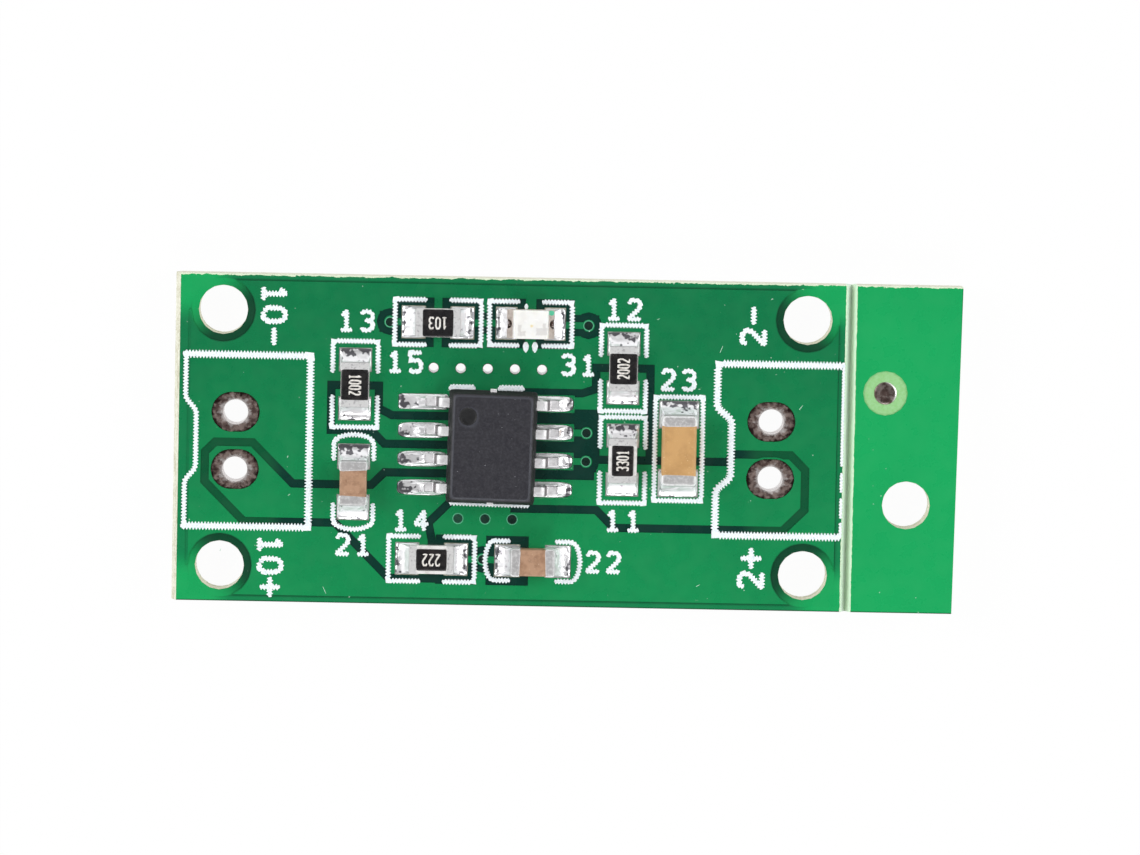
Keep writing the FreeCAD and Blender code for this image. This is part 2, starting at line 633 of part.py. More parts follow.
def make_chip():
    """The moulding, drafted both ways from its parting line, with a dimple and seats for its metal."""
    body = add_body("chip_body")
    parting = f"{CHIP_FOOT} + dims.chip_height / 2"
    for down in (False, True):
        half = add_sketch(body, "half", lift=parting)
        draw_middle_box(half, "dims.chip_width", "dims.chip_length")
        moulding = pad(body, half, "dims.chip_height / 2", down=down, slope="-dims.chip_draft")
    top = value(f"{CHIP_FOOT} + dims.chip_height")
    chamfer(body, moulding, "dims.chip_edge", lambda point: near(point.z, top))
    dimple = add_sketch(body, "dimple", lift=f"{CHIP_FOOT} + dims.chip_height")
    draw_many_sided(dimple, "dims.dimple_x", "dims.dimple_y", "dims.dimple_diameter", RING_SIDES)
    pocket(body, dimple, "dims.dimple_depth")
    for side, flip in (("-", False), ("", True)):
        seats = add_sketch(body, "lead_seats", "YZ_Plane",
                           lift=f"{side}(dims.chip_width / 2 - dims.lead_embed)")
        for step in range(LEADS_PER_SIDE):
            row = f"({step} - {MIDDLE_ROW}) * dims.lead_pitch"
            draw_box(seats, f"{row} - dims.lead_width / 2", f"{row} + dims.lead_width / 2",
                     f"{parting} - dims.lead_thickness / 2", f"{parting} + dims.lead_thickness / 2")
        pocket(body, seats, "dims.lead_embed + dims.overshoot", reversed_cut=flip)
    for side, flip in (("-", True), ("", False)):
        seat = add_sketch(body, "tie_seat", "XZ_Plane", lift=f"{side}(dims.chip_length / 2 - dims.tie_embed)")
        draw_box(seat, "-dims.tie_width / 2", "dims.tie_width / 2",
                 f"{parting} - dims.lead_thickness / 2", f"{parting} + dims.lead_thickness / 2")
        pocket(body, seat, "dims.tie_embed + dims.overshoot", reversed_cut=not flip)
    place_on_layout(body, "chip", z=LAND_TOP)

    ties = add_body("chip_tie_bar")
    for side in ("-", ""):
        bar = add_sketch(ties, "bar", lift=f"{parting} - dims.lead_thickness / 2")
        draw_box(bar, "-dims.tie_width / 2", "dims.tie_width / 2",
                 f"{side}(dims.chip_length / 2 - dims.tie_embed)",
                 f"{side}(dims.chip_length / 2 + dims.tie_stub)")
        pad(ties, bar, "dims.lead_thickness")
    place_on_layout(ties, "chip", z=LAND_TOP)


def make_lead(number):
    """One gull-wing lead: shoulder, knee, heel and foot, with both bends rounded."""
    body = add_body(f"chip_lead_{number}")
    on_left = number <= LEADS_PER_SIDE
    step = number - 1 if on_left else number - 1 - LEADS_PER_SIDE
    row = f"({step} - {MIDDLE_ROW}) * dims.lead_pitch"
    root = "dims.chip_width / 2 - dims.lead_embed"
    knee = "dims.chip_width / 2 + dims.lead_shoulder"
    heel = f"{knee} + dims.lead_lean"
    tip = "dims.lead_span / 2"
    foot = "dims.solder_film"
    sole = f"{foot} + dims.lead_thickness"
    over = f"{CHIP_FOOT} + dims.chip_height / 2 + dims.lead_thickness / 2"
    under = f"{over} - dims.lead_thickness"
    profile = add_sketch(body, "profile", "XZ_Plane", lift=f"-({row})")
    draw_ring(profile, [
        (root, over), (knee, over), (heel, sole), (tip, sole),
        (tip, foot), (f"{heel} - dims.lead_thickness", foot), (f"{knee} - dims.lead_thickness", under),
        (root, under),
    ])
    formed = pad(body, profile, "dims.lead_width", middle=True)
    inner = [(value(f"{knee} - dims.lead_thickness"), value(under)), (value(heel), value(sole))]
    outer = [(value(knee), value(over)), (value(f"{heel} - dims.lead_thickness"), value(foot))]
    for corners, bend, radius in ((inner, chamfer, "dims.lead_bend"),
                                  (outer, fillet, "dims.lead_bend + dims.lead_thickness")):
        formed = bend(body, formed, radius, lambda point, corners=corners: any(
            near(point.x, x) and near(point.z, z) for x, z in corners))
    place_on_layout(body, "chip", z=LAND_TOP, turn="dims.chip_turn + 180" if on_left else "dims.chip_turn")
    return body


def make_chip_solder(leads):
    """Solder mounds on the eight lands, with the leads cut out of them."""
    mounds = add_body("chip_solder_mounds")
    outer = "dims.chip_land_span / 2"
    inner = f"{outer} - dims.chip_land_length"
    tip = "dims.lead_span / 2"
    heel = "dims.chip_width / 2 + dims.lead_shoulder"
    offset = "(dims.chip_x - dims.chip_land_x)"
    half_land = "dims.chip_land_width / 2"
    half_lead = "dims.lead_width / 2"
    first_row = f"-{MIDDLE_ROW} * dims.lead_pitch"
    for side in ("-", ""):
        sections = []
        for level, near_end, far_end, half in (
            ("0", f"{inner} + dims.chip_fillet_toe", f"{outer} - dims.chip_fillet_toe",
             f"{half_land} - dims.chip_fillet_side"),
            ("dims.chip_fillet * dims.chip_fillet_waist", f"{heel} - dims.chip_fillet_toe",
             f"({tip} + {outer}) / 2 - dims.chip_fillet_side", f"{half_lead} + 2 * dims.solder_skirt"),
            ("dims.chip_fillet", f"{heel} - dims.solder_lip", f"{tip} + dims.solder_skirt",
             f"{half_lead} + dims.solder_skirt"),
        ):
            section = add_sketch(mounds, "section", lift=level)
            moved = "0" if level == "0" else offset
            draw_box(section, f"{side}({near_end}) + {moved}", f"{side}({far_end}) + {moved}",
                     f"{first_row} - {half}", f"{first_row} + {half}")
            sections.append(section)
        mound = mounds.newObject("PartDesign::AdditiveLoft", "mound")
        mound.Profile = sections[0]
        mound.Sections = sections[1:]
        mound.Ruled = True
        doc.recompute()
        row = mounds.newObject("PartDesign::LinearPattern", "row")
        row.Originals = [mound]
        row.Direction = (origin_feature(mounds, "Y_Axis"), [""])
        row.setExpression("Length", f"{LEADS_PER_SIDE - 1} * dims.lead_pitch")
        row.Occurrences = LEADS_PER_SIDE
        mounds.Tip = row
    place(mounds, f"{LAYOUT_X} + dims.chip_land_x", "dims.layout_y + dims.chip_land_y", LAND_TOP)
    cut("chip_solder", mounds, compound("chip_leads", leads))


def make_resistor(name):
    """Ceramic slab, wrapped end caps and the black coat between them."""
    wall = "dims.resistor_cap_wall"
    substrate = add_body(f"{name}_substrate")
    slab = add_sketch(substrate, "slab", lift=wall)
    draw_middle_box(slab, f"dims.resistor_length - 2 * {wall}", "dims.resistor_width")
    pad(substrate, slab, f"dims.resistor_height - 2 * {wall}")
    place_on_layout(substrate, name)

    caps = add_body(f"{name}_end_caps")
    end = "dims.resistor_length / 2"
    for side in ("-", ""):
        wrap = add_sketch(caps, "wrap", "XZ_Plane")
        inside = f"{side}({end} - dims.resistor_cap)"
        lining = f"{side}({end} - {wall})"
        draw_ring(wrap, [
            (inside, "0"), (f"{side}{end}", "0"), (f"{side}{end}", "dims.resistor_height"),
            (inside, "dims.resistor_height"), (inside, f"dims.resistor_height - {wall}"),
            (lining, f"dims.resistor_height - {wall}"), (lining, wall), (inside, wall),
        ])
        wrapped = pad(caps, wrap, "dims.resistor_width", middle=True)
    ends = value(end)
    chamfer(caps, wrapped, "dims.resistor_cap_edge", lambda point: near(abs(point.x), ends))
    place_on_layout(caps, name)

    coat = add_body(f"{name}_overcoat")
    film = add_sketch(coat, "film", lift=f"dims.resistor_height - {wall}")
    width = "dims.narrow_coat_width" if name in NARROW_COATS else "dims.resistor_width"
    draw_middle_box(film, "dims.resistor_length - 2 * dims.resistor_cap", width)
    pad(coat, film, "dims.resistor_coat", slope="-dims.resistor_coat_slope")
    place_on_layout(coat, name)


def make_capacitor(name, style):
    """Ceramic block and the cup-shaped caps that close its ends."""
    wall = f"dims.{style}_cap_wall"
    length, width, height = (f"dims.{style}_{axis}" for axis in ("length", "width", "height"))
    ceramic = add_body(f"{name}_ceramic")
    block = add_sketch(ceramic, "block", lift=wall)
    draw_middle_box(block, f"{length} - 2 * {wall}", f"{width} - 2 * {wall}")
    pad(ceramic, block, f"{height} - 2 * {wall}")
    place_on_layout(ceramic, name)

    caps = add_body(f"{name}_end_caps")
    cups = add_sketch(caps, "cups")
    for side in ("-", ""):
        draw_box(cups, f"{side}{length} / 2", f"{side}({length} / 2 - dims.{style}_cap)",
                 f"-{width} / 2", f"{width} / 2")
    raised = pad(caps, cups, height)
    end = value(f"{length} / 2")
    chamfer(caps, raised, f"dims.{style}_cap_edge", lambda point: near(abs(point.x), end))
    inside = add_sketch(caps, "inside", lift=wall)
    draw_middle_box(inside, f"{length} - 2 * {wall}", f"{width} - 2 * {wall}")
    pocket(caps, inside, f"{height} - 2 * {wall}", reversed_cut=True)
    place_on_layout(caps, name)


def make_led():
    """Base board with half-round plated ends, die, tapered lens and polarity mark."""
    base_top = "dims.led_base_height - dims.led_cap_wall"
    base = add_body("led_base")
    board = add_sketch(base, "board", lift="dims.led_cap_wall")
    draw_middle_box(board, "dims.led_length", "dims.led_width")
    pad(base, board, f"{base_top} - dims.led_cap_wall")
    notches = add_sketch(base, "notches", lift="dims.led_cap_wall")
    for side in ("-", ""):
        draw_many_sided(notches, f"{side}dims.led_length / 2", "0", "dims.led_notch", NOTCH_SIDES)
    pocket(base, notches, "dims.led_base_height", reversed_cut=True)
    place_on_layout(base, "led")

    caps = add_body("led_end_caps")
    for lift in ("0", base_top):
        plates = add_sketch(caps, "plates", lift=lift)
        for side in ("-", ""):
            draw_box(plates, f"{side}dims.led_length / 2", f"{side}(dims.led_length / 2 - dims.led_cap)",
                     "-dims.led_width / 2", "dims.led_width / 2")
        pad(caps, plates, "dims.led_cap_wall")
    linings = add_sketch(caps, "linings")
    for side in ("-", ""):
        draw_many_sided(linings, f"{side}dims.led_length / 2", "0", "dims.led_notch", NOTCH_SIDES)
    pad(caps, linings, "dims.led_base_height")
    bores = add_sketch(caps, "bores")
    for side in ("-", ""):
        draw_many_sided(bores, f"{side}dims.led_length / 2", "0",
                        "(dims.led_notch - 2 * dims.led_cap_wall)", NOTCH_SIDES)
    pocket(caps, bores, "dims.led_base_height", reversed_cut=True)
    for side in ("-", ""):
        beyond = add_sketch(caps, "beyond")
        draw_box(beyond, f"{side}dims.led_length / 2", f"{side}(dims.led_length / 2 + dims.led_notch)",
                 "-dims.led_width / 2", "dims.led_width / 2")
        pocket(caps, beyond, "dims.led_base_height", reversed_cut=True)
    place_on_layout(caps, "led")

    die = add_body("led_die")
    cube = add_sketch(die, "cube", lift=base_top)
    draw_middle_box(cube, "dims.led_die_size", "dims.led_die_size")
    pad(die, cube, "dims.led_die_height")
    place_on_layout(die, "led")

    lens = add_body("led_lens")
    foot = add_sketch(lens, "foot", lift=base_top)
    draw_middle_box(foot, "dims.led_lens_length", "dims.led_width")
    resin = pad(lens, foot, f"dims.led_height - ({base_top})", slope="-dims.led_lens_draft")
    lens_top = value("dims.led_height")
    chamfer(lens, resin, "dims.led_lens_edge", lambda point: near(point.z, lens_top))
    hollow = add_sketch(lens, "hollow", lift=base_top)
    draw_middle_box(hollow, "dims.led_die_size", "dims.led_die_size")
    pocket(lens, hollow, "dims.led_die_height", reversed_cut=True)
    place_on_layout(lens, "led")

    mark = add_body("led_polarity_mark")
    dab = add_sketch(mark, "dab", lift="dims.led_base_height")
    spot_x = "(dims.led_lens_length / 2 + dims.led_length / 2) / 2 + dims.led_mark_shift"
    spot_y = "(dims.led_width / 2 - dims.led_mark)"
    draw_box(dab, f"{spot_x} - dims.led_mark / 2", f"{spot_x} + dims.led_mark / 2",
             f"{spot_y} - dims.led_mark / 2", f"{spot_y} + dims.led_mark / 2")
    pad(mark, dab, "dims.ink_thickness")
    place_on_layout(mark, "led")


def make_end_solder(name):
    """The two solder fillets of a small part, each a stepped slope from its land up the end cap."""
    style = STYLES[name]
    body = add_body(f"{name}_solder")
    outer = f"dims.{style}_land_span / 2"
    inner = f"{outer} - dims.{style}_land_length"
    end = f"dims.{style}_length / 2"
    half_land = f"dims.{style}_land_width / 2"
    half_part = f"dims.{style}_width / 2"
    rise = f"(dims.{style}_fillet + dims.solder_film)"
    for side in ("-", ""):
        sections = []
        for level, far_end, half in (
            ("0", outer, half_land),
            (f"{rise} * dims.solder_waist_height", f"{end} + ({outer} - {end}) * dims.solder_waist_reach",
             f"{half_part} + dims.solder_skirt"),
            (rise, f"{end} + dims.solder_skirt", f"{half_part} + dims.solder_lip"),
        ):
            section = add_sketch(body, "section", lift=level)
            draw_box(section, f"{side}({inner})", f"{side}({far_end})", f"-({half})", half)
            sections.append(section)
        mound = body.newObject("PartDesign::AdditiveLoft", "mound")
        mound.Profile = sections[0]
        mound.Sections = sections[1:]
        mound.Ruled = True
    seat = add_sketch(body, "seat", lift="dims.solder_film")
    draw_middle_box(seat, f"dims.{style}_length", f"dims.{style}_width")
    pocket(body, seat, f"{rise} + dims.overshoot", reversed_cut=True)
    place_on_layout(body, name, z=LAND_TOP)


def spot(name, across=0.0, up=0.0):
    """A point given from a named place on the layout."""
    return layout(size(f"{name}_x") + across, size(f"{name}_y") + up)


def layout(across, up):
    """A point given from the middle of the mounting holes."""
    return Vector(value(LAYOUT_X) + across, size("layout_y") + up, 0)


def point_at(pair):
    """A point from a pair of expressions."""
    return Vector(value(pair[0]), value(pair[1]), 0)


def box_face(middle, length, width, turn=0.0):
    """A flat rectangle about a point."""
    corners = [Vector(-length / 2, -width / 2, 0), Vector(length / 2, -width / 2, 0),
               Vector(length / 2, width / 2, 0), Vector(-length / 2, width / 2, 0)]
    rotation = Rotation(Vector(0, 0, 1), turn)
    return polygon([middle + rotation.multVec(corner) for corner in corners])


def span_face(low, high):
    """A flat rectangle between two corners."""
    return box_face((low + high) / 2, abs(high.x - low.x), abs(high.y - low.y))


def round_face(middle, diameter, sides):
    """A flat round face with short straight sides, its corners on the circle."""
    corners = []
    for step in range(sides):
        angle = 2 * math.pi * step / sides
        corners.append(middle + Vector(math.cos(angle), math.sin(angle), 0) * (diameter / 2))
    return polygon(corners)


def round_opening(middle, diameter, sides):
    """A round face whose sides, not its corners, touch the circle, so that it clears a hole."""
    return round_face(middle, diameter / math.cos(math.pi / sides), sides)


def oval_face(middle, length, width):
    """A flat oval about a point, its round ends drawn with short straight sides."""
    corners = []
    for side, start in ((1, -90), (-1, 90)):
        for step in range(OVAL_STEPS + 1):
            angle = math.radians(start + 180 * step / OVAL_STEPS)
            end = Vector(side * (length - width) / 2, 0, 0)
            corners.append(middle + end + Vector(math.cos(angle), math.sin(angle), 0) * (width / 2))
    return polygon(corners)


def polygon(points):
    """A flat face inside a ring of points."""
    return Part.Face(Part.makePolygon(points + points[:1]))


def sideways(run):
    """The unit vector to the left of a run."""
    return Vector(-run.y, run.x, 0).normalize()


def strip(points, width, closed=False):
    """A line of one width through points, mitred at its corners and half a width longer at its ends."""
    half = width / 2
    if not closed:
        first, last = points[0] - points[1], points[-1] - points[-2]
        points = ([points[0] + first.normalize() * half] + points[1:-1]
                  + [points[-1] + last.normalize() * half])
    left, right = [], []
    for index, point in enumerate(points):
        runs = []
        if closed or index:
            runs.append(point - points[index - 1])
        if closed or index < len(points) - 1:
            runs.append(points[(index + 1) % len(points)] - point)
        normals = [sideways(run) for run in runs]
        mitre = (normals[0] + normals[-1]) * (half / (1 + normals[0].dot(normals[-1])))
        left.append(point + mitre)
        right.append(point - mitre)
    if closed:
        outer, inner = sorted((polygon(left), polygon(right)), key=lambda face: -face.Area)
        return outer.cut(inner)
    return polygon(left + right[::-1])


def join(faces):
    """Flat faces made one."""
    first, *others = faces
    return first.multiFuse(others).removeSplitter() if others else first


def raise_face(face, low, high):
    """A flat face made solid between two heights."""
    solid = face.extrude(Vector(0, 0, high - low))
    solid.translate(Vector(0, 0, low))
    return solid


def land_middle(name, end):
    """The middle of the land under one end of a small part; end is -1 or 1 along the part."""
    style = STYLES[name]
    reach = Vector(end * (size(f"{style}_land_span") - size(f"{style}_land_length")) / 2, 0, 0)
    return spot(name) + Rotation(Vector(0, 0, 1), size(f"{name}_turn")).multVec(reach)


def land_face(name, end, grown=0.0):
    """The land under one end of a small part, grown on every side."""
    style = STYLES[name]
    return box_face(land_middle(name, end), size(f"{style}_land_length") + 2 * grown,
                    size(f"{style}_land_width") + 2 * grown, size(f"{name}_turn"))


def chip_land_middle(number):
    """The middle of the land of one lead."""
    on_left = number <= LEADS_PER_SIDE
    step = MIDDLE_ROW - (number - 1) if on_left else number - 1 - LEADS_PER_SIDE - MIDDLE_ROW
    reach = (size("chip_land_span") - size("chip_land_length")) / 2 * (-1 if on_left else 1)
    return layout(size("chip_land_x") + reach, size("chip_land_y") + step * size("lead_pitch"))


def chip_land(number, grown=0.0):
    """The land of one lead, grown on every side."""
    return box_face(chip_land_middle(number), size("chip_land_length") + 2 * grown,
                    size("chip_land_width") + 2 * grown)


def island_tracks():
    """Tracks that lie in their own isolation, each a list of points."""
    vias = [point_at(place_pair) for place_pair in signal_vias()]
    return [
        [vias[0], land_middle("resistor_5", 1)],
        [land_middle("resistor_5", -1), land_middle("led", -1)],
        [land_middle("led", 1) - Vector(0, size("via_step"), 0), vias[1]],
        [chip_land_middle(7), vias[2]],
        [chip_land_middle(6), vias[3]],
        [land_middle("resistor_4", -1), vias[4], land_middle("capacitor_2", -1)],
    ]


def islands(grown, track_grown):
    """Every isolated piece of copper, its pads grown by one measure, its tracks and vias by another."""
    faces = [land_face(name, end, grown) for name, end in ISLAND_LANDS]
    faces += [chip_land(number, grown) for number in ISLAND_LEADS]
    faces += [strip(points, size("track_width") + 2 * track_grown) for points in island_tracks()]
    faces += [round_face(point_at(pair), size("signal_via_land") + 2 * track_grown, VIA_LAND_SIDES)
              for pair in signal_vias()]
    return faces


def supply_line():
    """The closed line round the supply area, from the first capacitor round the positive input hole."""
    neck_y = size("capacitor_1_y") + size("supply_neck_y")
    left, right = size("supply_left"), size("supply_right")
    top, bottom = size("supply_top"), size("supply_bottom")
    upper, lower = size("supply_upper_bevel"), size("supply_lower_bevel")
    tail_x = size("resistor_4_x") + size("supply_tail_x")
    tail_low = size("resistor_4_y") + size("supply_tail_low")
    end_x = size("supply_end_x")
    row = size("chip_land_y") - size("lead_pitch")
    slant = size("supply_tail_bevel")
    row_left = size("chip_land_x") - size("chip_land_span") / 2
    return [
        layout(size("capacitor_1_x"), neck_y), layout(right, neck_y), layout(right - (top - neck_y), top),
        layout(left + upper, top), layout(left, top - upper), layout(left, bottom + lower),
        layout(left + lower, bottom), layout(tail_x - (bottom - tail_low), bottom), layout(tail_x, tail_low),
        layout(size("resistor_4_x"), tail_low), spot("resistor_4", 0, size("supply_tail_high")),
        layout(end_x - slant, row - 2 * slant), layout(end_x, row - slant), layout(end_x, row),
        layout(row_left - (row - neck_y), row), layout(row_left - 2 * (row - neck_y), neck_y),
    ]


def sense_line():
    """The closed line round the sense area, from the third resistor to the second lead."""
    middle = spot("resistor_3")
    left, right = middle.x + size("sense_left"), middle.x + size("sense_right")
    top, bottom = middle.y + size("sense_top"), middle.y + size("sense_bottom")
    rows = layout(size("sense_end_x"), size("chip_land_y"))
    upper = rows.y + size("lead_pitch")
    row_left = layout(size("chip_land_x") - size("chip_land_span") / 2, 0).x
    bevel = size("sense_bevel")
    return [
        Vector(left, top, 0), Vector(right, top, 0), Vector(right, upper + bevel / 2, 0),
        Vector(right + bevel, upper, 0), Vector(rows.x, upper, 0), rows, Vector(row_left - bevel, rows.y, 0),
        Vector(row_left - 2 * bevel, rows.y + bevel, 0), Vector(left, bottom, 0),
    ]


def feedback_line():
    """The closed line round the feedback area, from the eighth lead to the first two resistors."""
    left, neck = size("feedback_left"), size("feedback_neck_x")
    top, bottom, half = size("feedback_top"), size("feedback_bottom"), size("feedback_half")
    return [
        layout(left, top), layout(neck - half / 2, top), layout(neck, top + half / 6),
        spot("resistor_2", -half), spot("resistor_2", half), spot("resistor_1", half),
        spot("resistor_1", -half), layout(neck, bottom), layout(left, bottom),
    ]


def battery_line():
    """The line from the first resistor round the positive battery hole to the lower right lead."""
    left, right = size("battery_left"), size("battery_right")
    top, bottom = size("battery_top"), size("battery_bottom")
    upper, lower = size("battery_upper_bevel"), size("battery_lower_bevel")
    step, neck, slant = size("battery_slope"), size("battery_neck_x"), size("battery_neck_bevel")
    end_x, row = size("battery_end_x"), size("chip_land_y") - size("lead_pitch")
    return [
        spot("resistor_1", size("sense_right")), layout(left - step, size("resistor_1_y")), layout(left, top),
        layout(right - upper, top), layout(right, top - upper), layout(right, bottom + lower),
        layout(right - lower, bottom), layout(neck, bottom), layout(neck - slant, bottom + slant),
        layout(end_x, bottom + slant), layout(end_x, row), layout(size("battery_start_x"), row),
    ]


def isolation_lines():
    """The lines that part the pour: the points of each, and whether it closes on itself."""
    return [(supply_line(), True), (sense_line(), True), (feedback_line(), True), (battery_line(), False)]


def make_pour():
    """The outline of both copper areas: kept back from the edges, the corners and the mounting holes."""
    left = -(size("board_length") + size("rail_width")) / 2
    right = left + size("board_length")
    half_width = size("board_width") / 2
    side = half_width - size("pour_side_inset")
    pour = span_face(Vector(left + size("pour_snapped_inset"), -side, 0),
                     Vector(right - size("pour_score_inset"), side, 0))
    cuts = []
    for across in (-1, 1):
        for up in (-1, 1):
            middle = layout(across * size("mount_pitch_x") / 2, up * size("mount_pitch_y") / 2)
            cuts.append(round_face(middle, size("mount_ring"), RING_SIDES))
            corner = Vector(left if across < 0 else right, up * half_width, 0)
            cuts.append(span_face(middle, corner))
    return pour.cut(join(cuts))


def drilled_holes():
    """The holes that go through both foils, as flat faces. The barrels of tented vias end under them."""
    faces = [round_face(point_at(pair), size("terminal_drill"), TERMINAL_SIDES)
             for pair in TERMINALS.values()]
    return faces + [round_face(point_at(pair), size("heat_via_drill"), VIA_SIDES)
                    for pair in open_heat_vias()]


def top_copper_face():
    """The pour less its isolation, which leaves every land, track and via land standing."""
    gap = size("gap_width")
    zone = span_face(layout(size("chip_x") + size("chip_width") / 2, size("zone_bottom")),
                     layout(size("zone_right"), size("zone_top")))
    isolation = [strip(points, gap, closed) for points, closed in isolation_lines()]
    isolation += [zone] + islands(size("island_gap"), size("track_gap"))
    lands = [land_face(name, end) for name in STYLES for end in (-1, 1)]
    lands += [chip_land(number) for number in LEAD_NUMBERS]
    return make_pour().cut(join(isolation).cut(join(lands + islands(0.0, 0.0))))


def bottom_copper_face():
    """A plain pour, with the two positive lands standing alone in it."""
    lands, clearings = [], []
    for name in ("input_hole_positive", "battery_hole_positive"):
        for faces, grown in ((lands, 0.0), (clearings, size("island_gap"))):
            faces.append(oval_face(point_at(TERMINALS[name]), size("terminal_land_length") + 2 * grown,
                                   size("terminal_land_width") + 2 * grown))
    return make_pour().cut(join(clearings).cut(join(lands)))


def board_faces():
    """The two printed areas: the board between its snapped edge and the score, and the rail past it."""
    left = -(size("board_length") + size("rail_width")) / 2
    middle = left + size("board_length")
    half_score = size("score_width") / 2
    half_width = size("board_width") / 2
    board = span_face(Vector(left + half_score, -half_width, 0), Vector(middle - half_score, half_width, 0))
    corners = [Vector(middle + half_score, -half_width, 0), Vector(-left - size("rail_skew"), -half_width, 0),
               Vector(-left, half_width, 0), Vector(middle + half_score, half_width, 0)]
    return Part.makeCompound([board, polygon(corners)])


def bare_holes():
    """Openings that both mask layers leave round the drilled holes and the terminal lands."""
    faces = [round_opening(layout(across * size("mount_pitch_x") / 2, up * size("mount_pitch_y") / 2),
                           size("mount_hole"), RING_SIDES) for across in (-1, 1) for up in (-1, 1)]
    faces.append(round_opening(spot("tooling"), size("tooling_hole"), RING_SIDES))
    faces += [round_opening(point_at(pair), size("heat_via_drill"), VIA_SIDES)
              for pair in open_heat_vias()]
    faces += [oval_face(point_at(pair), size("terminal_land_length"), size("terminal_land_width"))
              for pair in TERMINALS.values()]
    return faces


def top_openings():
    """Openings of the top mask over the lands and the fiducial."""
    margin = size("mask_margin")
    faces = [land_face(name, end, margin) for name in STYLES for end in (-1, 1)]
    faces += [chip_land(number, margin) for number in LEAD_NUMBERS]
    faces.append(round_face(spot("fiducial"), size("fiducial_opening"), RING_SIDES))
    return faces


def make_layer(name, shape, foot):
    """A printed layer as one object of the document, standing at its foot."""
    feature = doc.addObject("Part::Feature", name)
    feature.Label = name
    feature.Shape = shape
    feature.Placement = FreeCAD.Placement(Vector(0, 0, foot), Rotation())
    return feature


def stepped(face, high_face, steps, high_steps):
    """A layer that lies at one pair of heights and, where it crosses high_face, at another."""
    low, high = face.cut(high_face), face.common(high_face)
    if abs(low.Area + high.Area - face.Area) > 1e-3 * face.Area:
        raise RuntimeError("a printed layer lost some of its area at a step")
    return raise_face(low, *steps).fuse(raise_face(high, *high_steps)).removeSplitter()


def make_printed_layers():
    """Copper, mask and legend, each following the one below it."""
    foil = size("copper_thickness")
    mask = size("mask_thickness")
    ink = size("ink_thickness")
    laminate_foot = value(LAMINATE_FOOT)
    laminate_top = value(LAMINATE_TOP)
    drilled = join(drilled_holes())
    top_copper = top_copper_face()
    bottom_copper = bottom_copper_face()
    make_layer("top_copper", raise_face(top_copper.cut(drilled), 0, foil), laminate_top)
    make_layer("bottom_copper", raise_face(bottom_copper.cut(drilled), 0, foil), laminate_foot - foil)

    # The upper mask steps down into every gap, the lower one fills its gaps level
    top_mask = board_faces().cut(join(bare_holes() + top_openings()))
    make_layer("top_solder_mask", stepped(top_mask, top_copper, (0, mask), (foil, foil + mask)), laminate_top)
    bottom_mask = board_faces().cut(join(bare_holes()))
    make_layer("bottom_solder_mask", stepped(bottom_mask, bottom_copper, (0, foil + mask), (0, mask)), 0)

    legend = join(legend_faces()).common(top_mask)
    make_layer("legend_ink", raise_face(legend, 0, ink), laminate_top + foil + mask)


def frame_strips(name, length, width, gap):
    """The frame round a small part: two brackets, or one closed ring where the gap is nothing."""
    line = size("legend_line")
    turn = Rotation(Vector(0, 0, 1), size(f"{name}_turn"))
    reach, half = (length - line) / 2, (width - line) / 2
    if not gap:
        ring = [(-reach, -half), (reach, -half), (reach, half), (-reach, half)]
        return [strip([spot(name) + turn.multVec(Vector(x, y, 0)) for x, y in ring], line, closed=True)]
    brackets = []
    for end in (-1, 1):
        bracket = [(end * (gap + line) / 2, -half), (end * reach, -half), (end * reach, half),
                   (end * (gap + line) / 2, half)]
        brackets.append(strip([spot(name) + turn.multVec(Vector(x, y, 0)) for x, y in bracket], line))
    return brackets


def rounded_frame(name, length, width, gap):
    """The frame of a small capacitor, whose ends are bowed outwards."""
    line = size("legend_line")
    turn = Rotation(Vector(0, 0, 1), size(f"{name}_turn"))
    half = (width - line) / 2
    bow = half * size("frame_bow")
    faces = []
    for end in (-1, 1):
        start = end * (gap + line) / 2
        shoulder = end * ((length - line) / 2 - bow)
        points = [(start, -half), (shoulder, -half)]
        for share in BOW_SHARES:
            angle = math.pi * (share - 0.5)
            points.append((shoulder + end * bow * math.cos(angle), half * math.sin(angle)))
        points += [(shoulder, half), (start, half)]
        faces.append(strip([spot(name) + turn.multVec(Vector(x, y, 0)) for x, y in points], line))
    return faces


def terminal_outline(side):
    """The heavy outline beside a terminal pair, with a notch above and below the pair's middle."""
    bold = size("legend_bold")
    line = size("legend_line")
    length = size("terminal_box_length")
    half = (size("terminal_box_height") - bold) / 2
    notch = size("terminal_notch")
    middle = layout(size("input_x") if side < 0 else size("battery_x"), size("terminal_y"))
    near_x = size("input_box_reach") - bold / 2 if side < 0 else bold / 2 - size("battery_box_reach")
    far_x = near_x + side * (length - bold / 2 - line / 2)
    mouth, floor, rise = size("notch_mouth") / 2, size("notch_floor") / 2, size("notch_rise")
    corners = [(far_x, half), (near_x, half)]
    if side > 0:
        corners += [(near_x, rise + mouth), (near_x + notch, rise + floor), (near_x + notch, rise - floor),
                    (near_x, rise - mouth)]
    corners += [(near_x, -half), (far_x, -half)]
    closing = [(far_x, -half)]
    if side < 0:
        closing += [(far_x, rise - mouth), (far_x + notch, rise - floor), (far_x + notch, rise + floor),
                    (far_x, rise + mouth)]
    closing += [(far_x, half)]
    place_points = [[middle + Vector(x, y, 0) for x, y in run] for run in (corners, closing)]
    return [strip(place_points[0], bold), strip(place_points[1], line)]


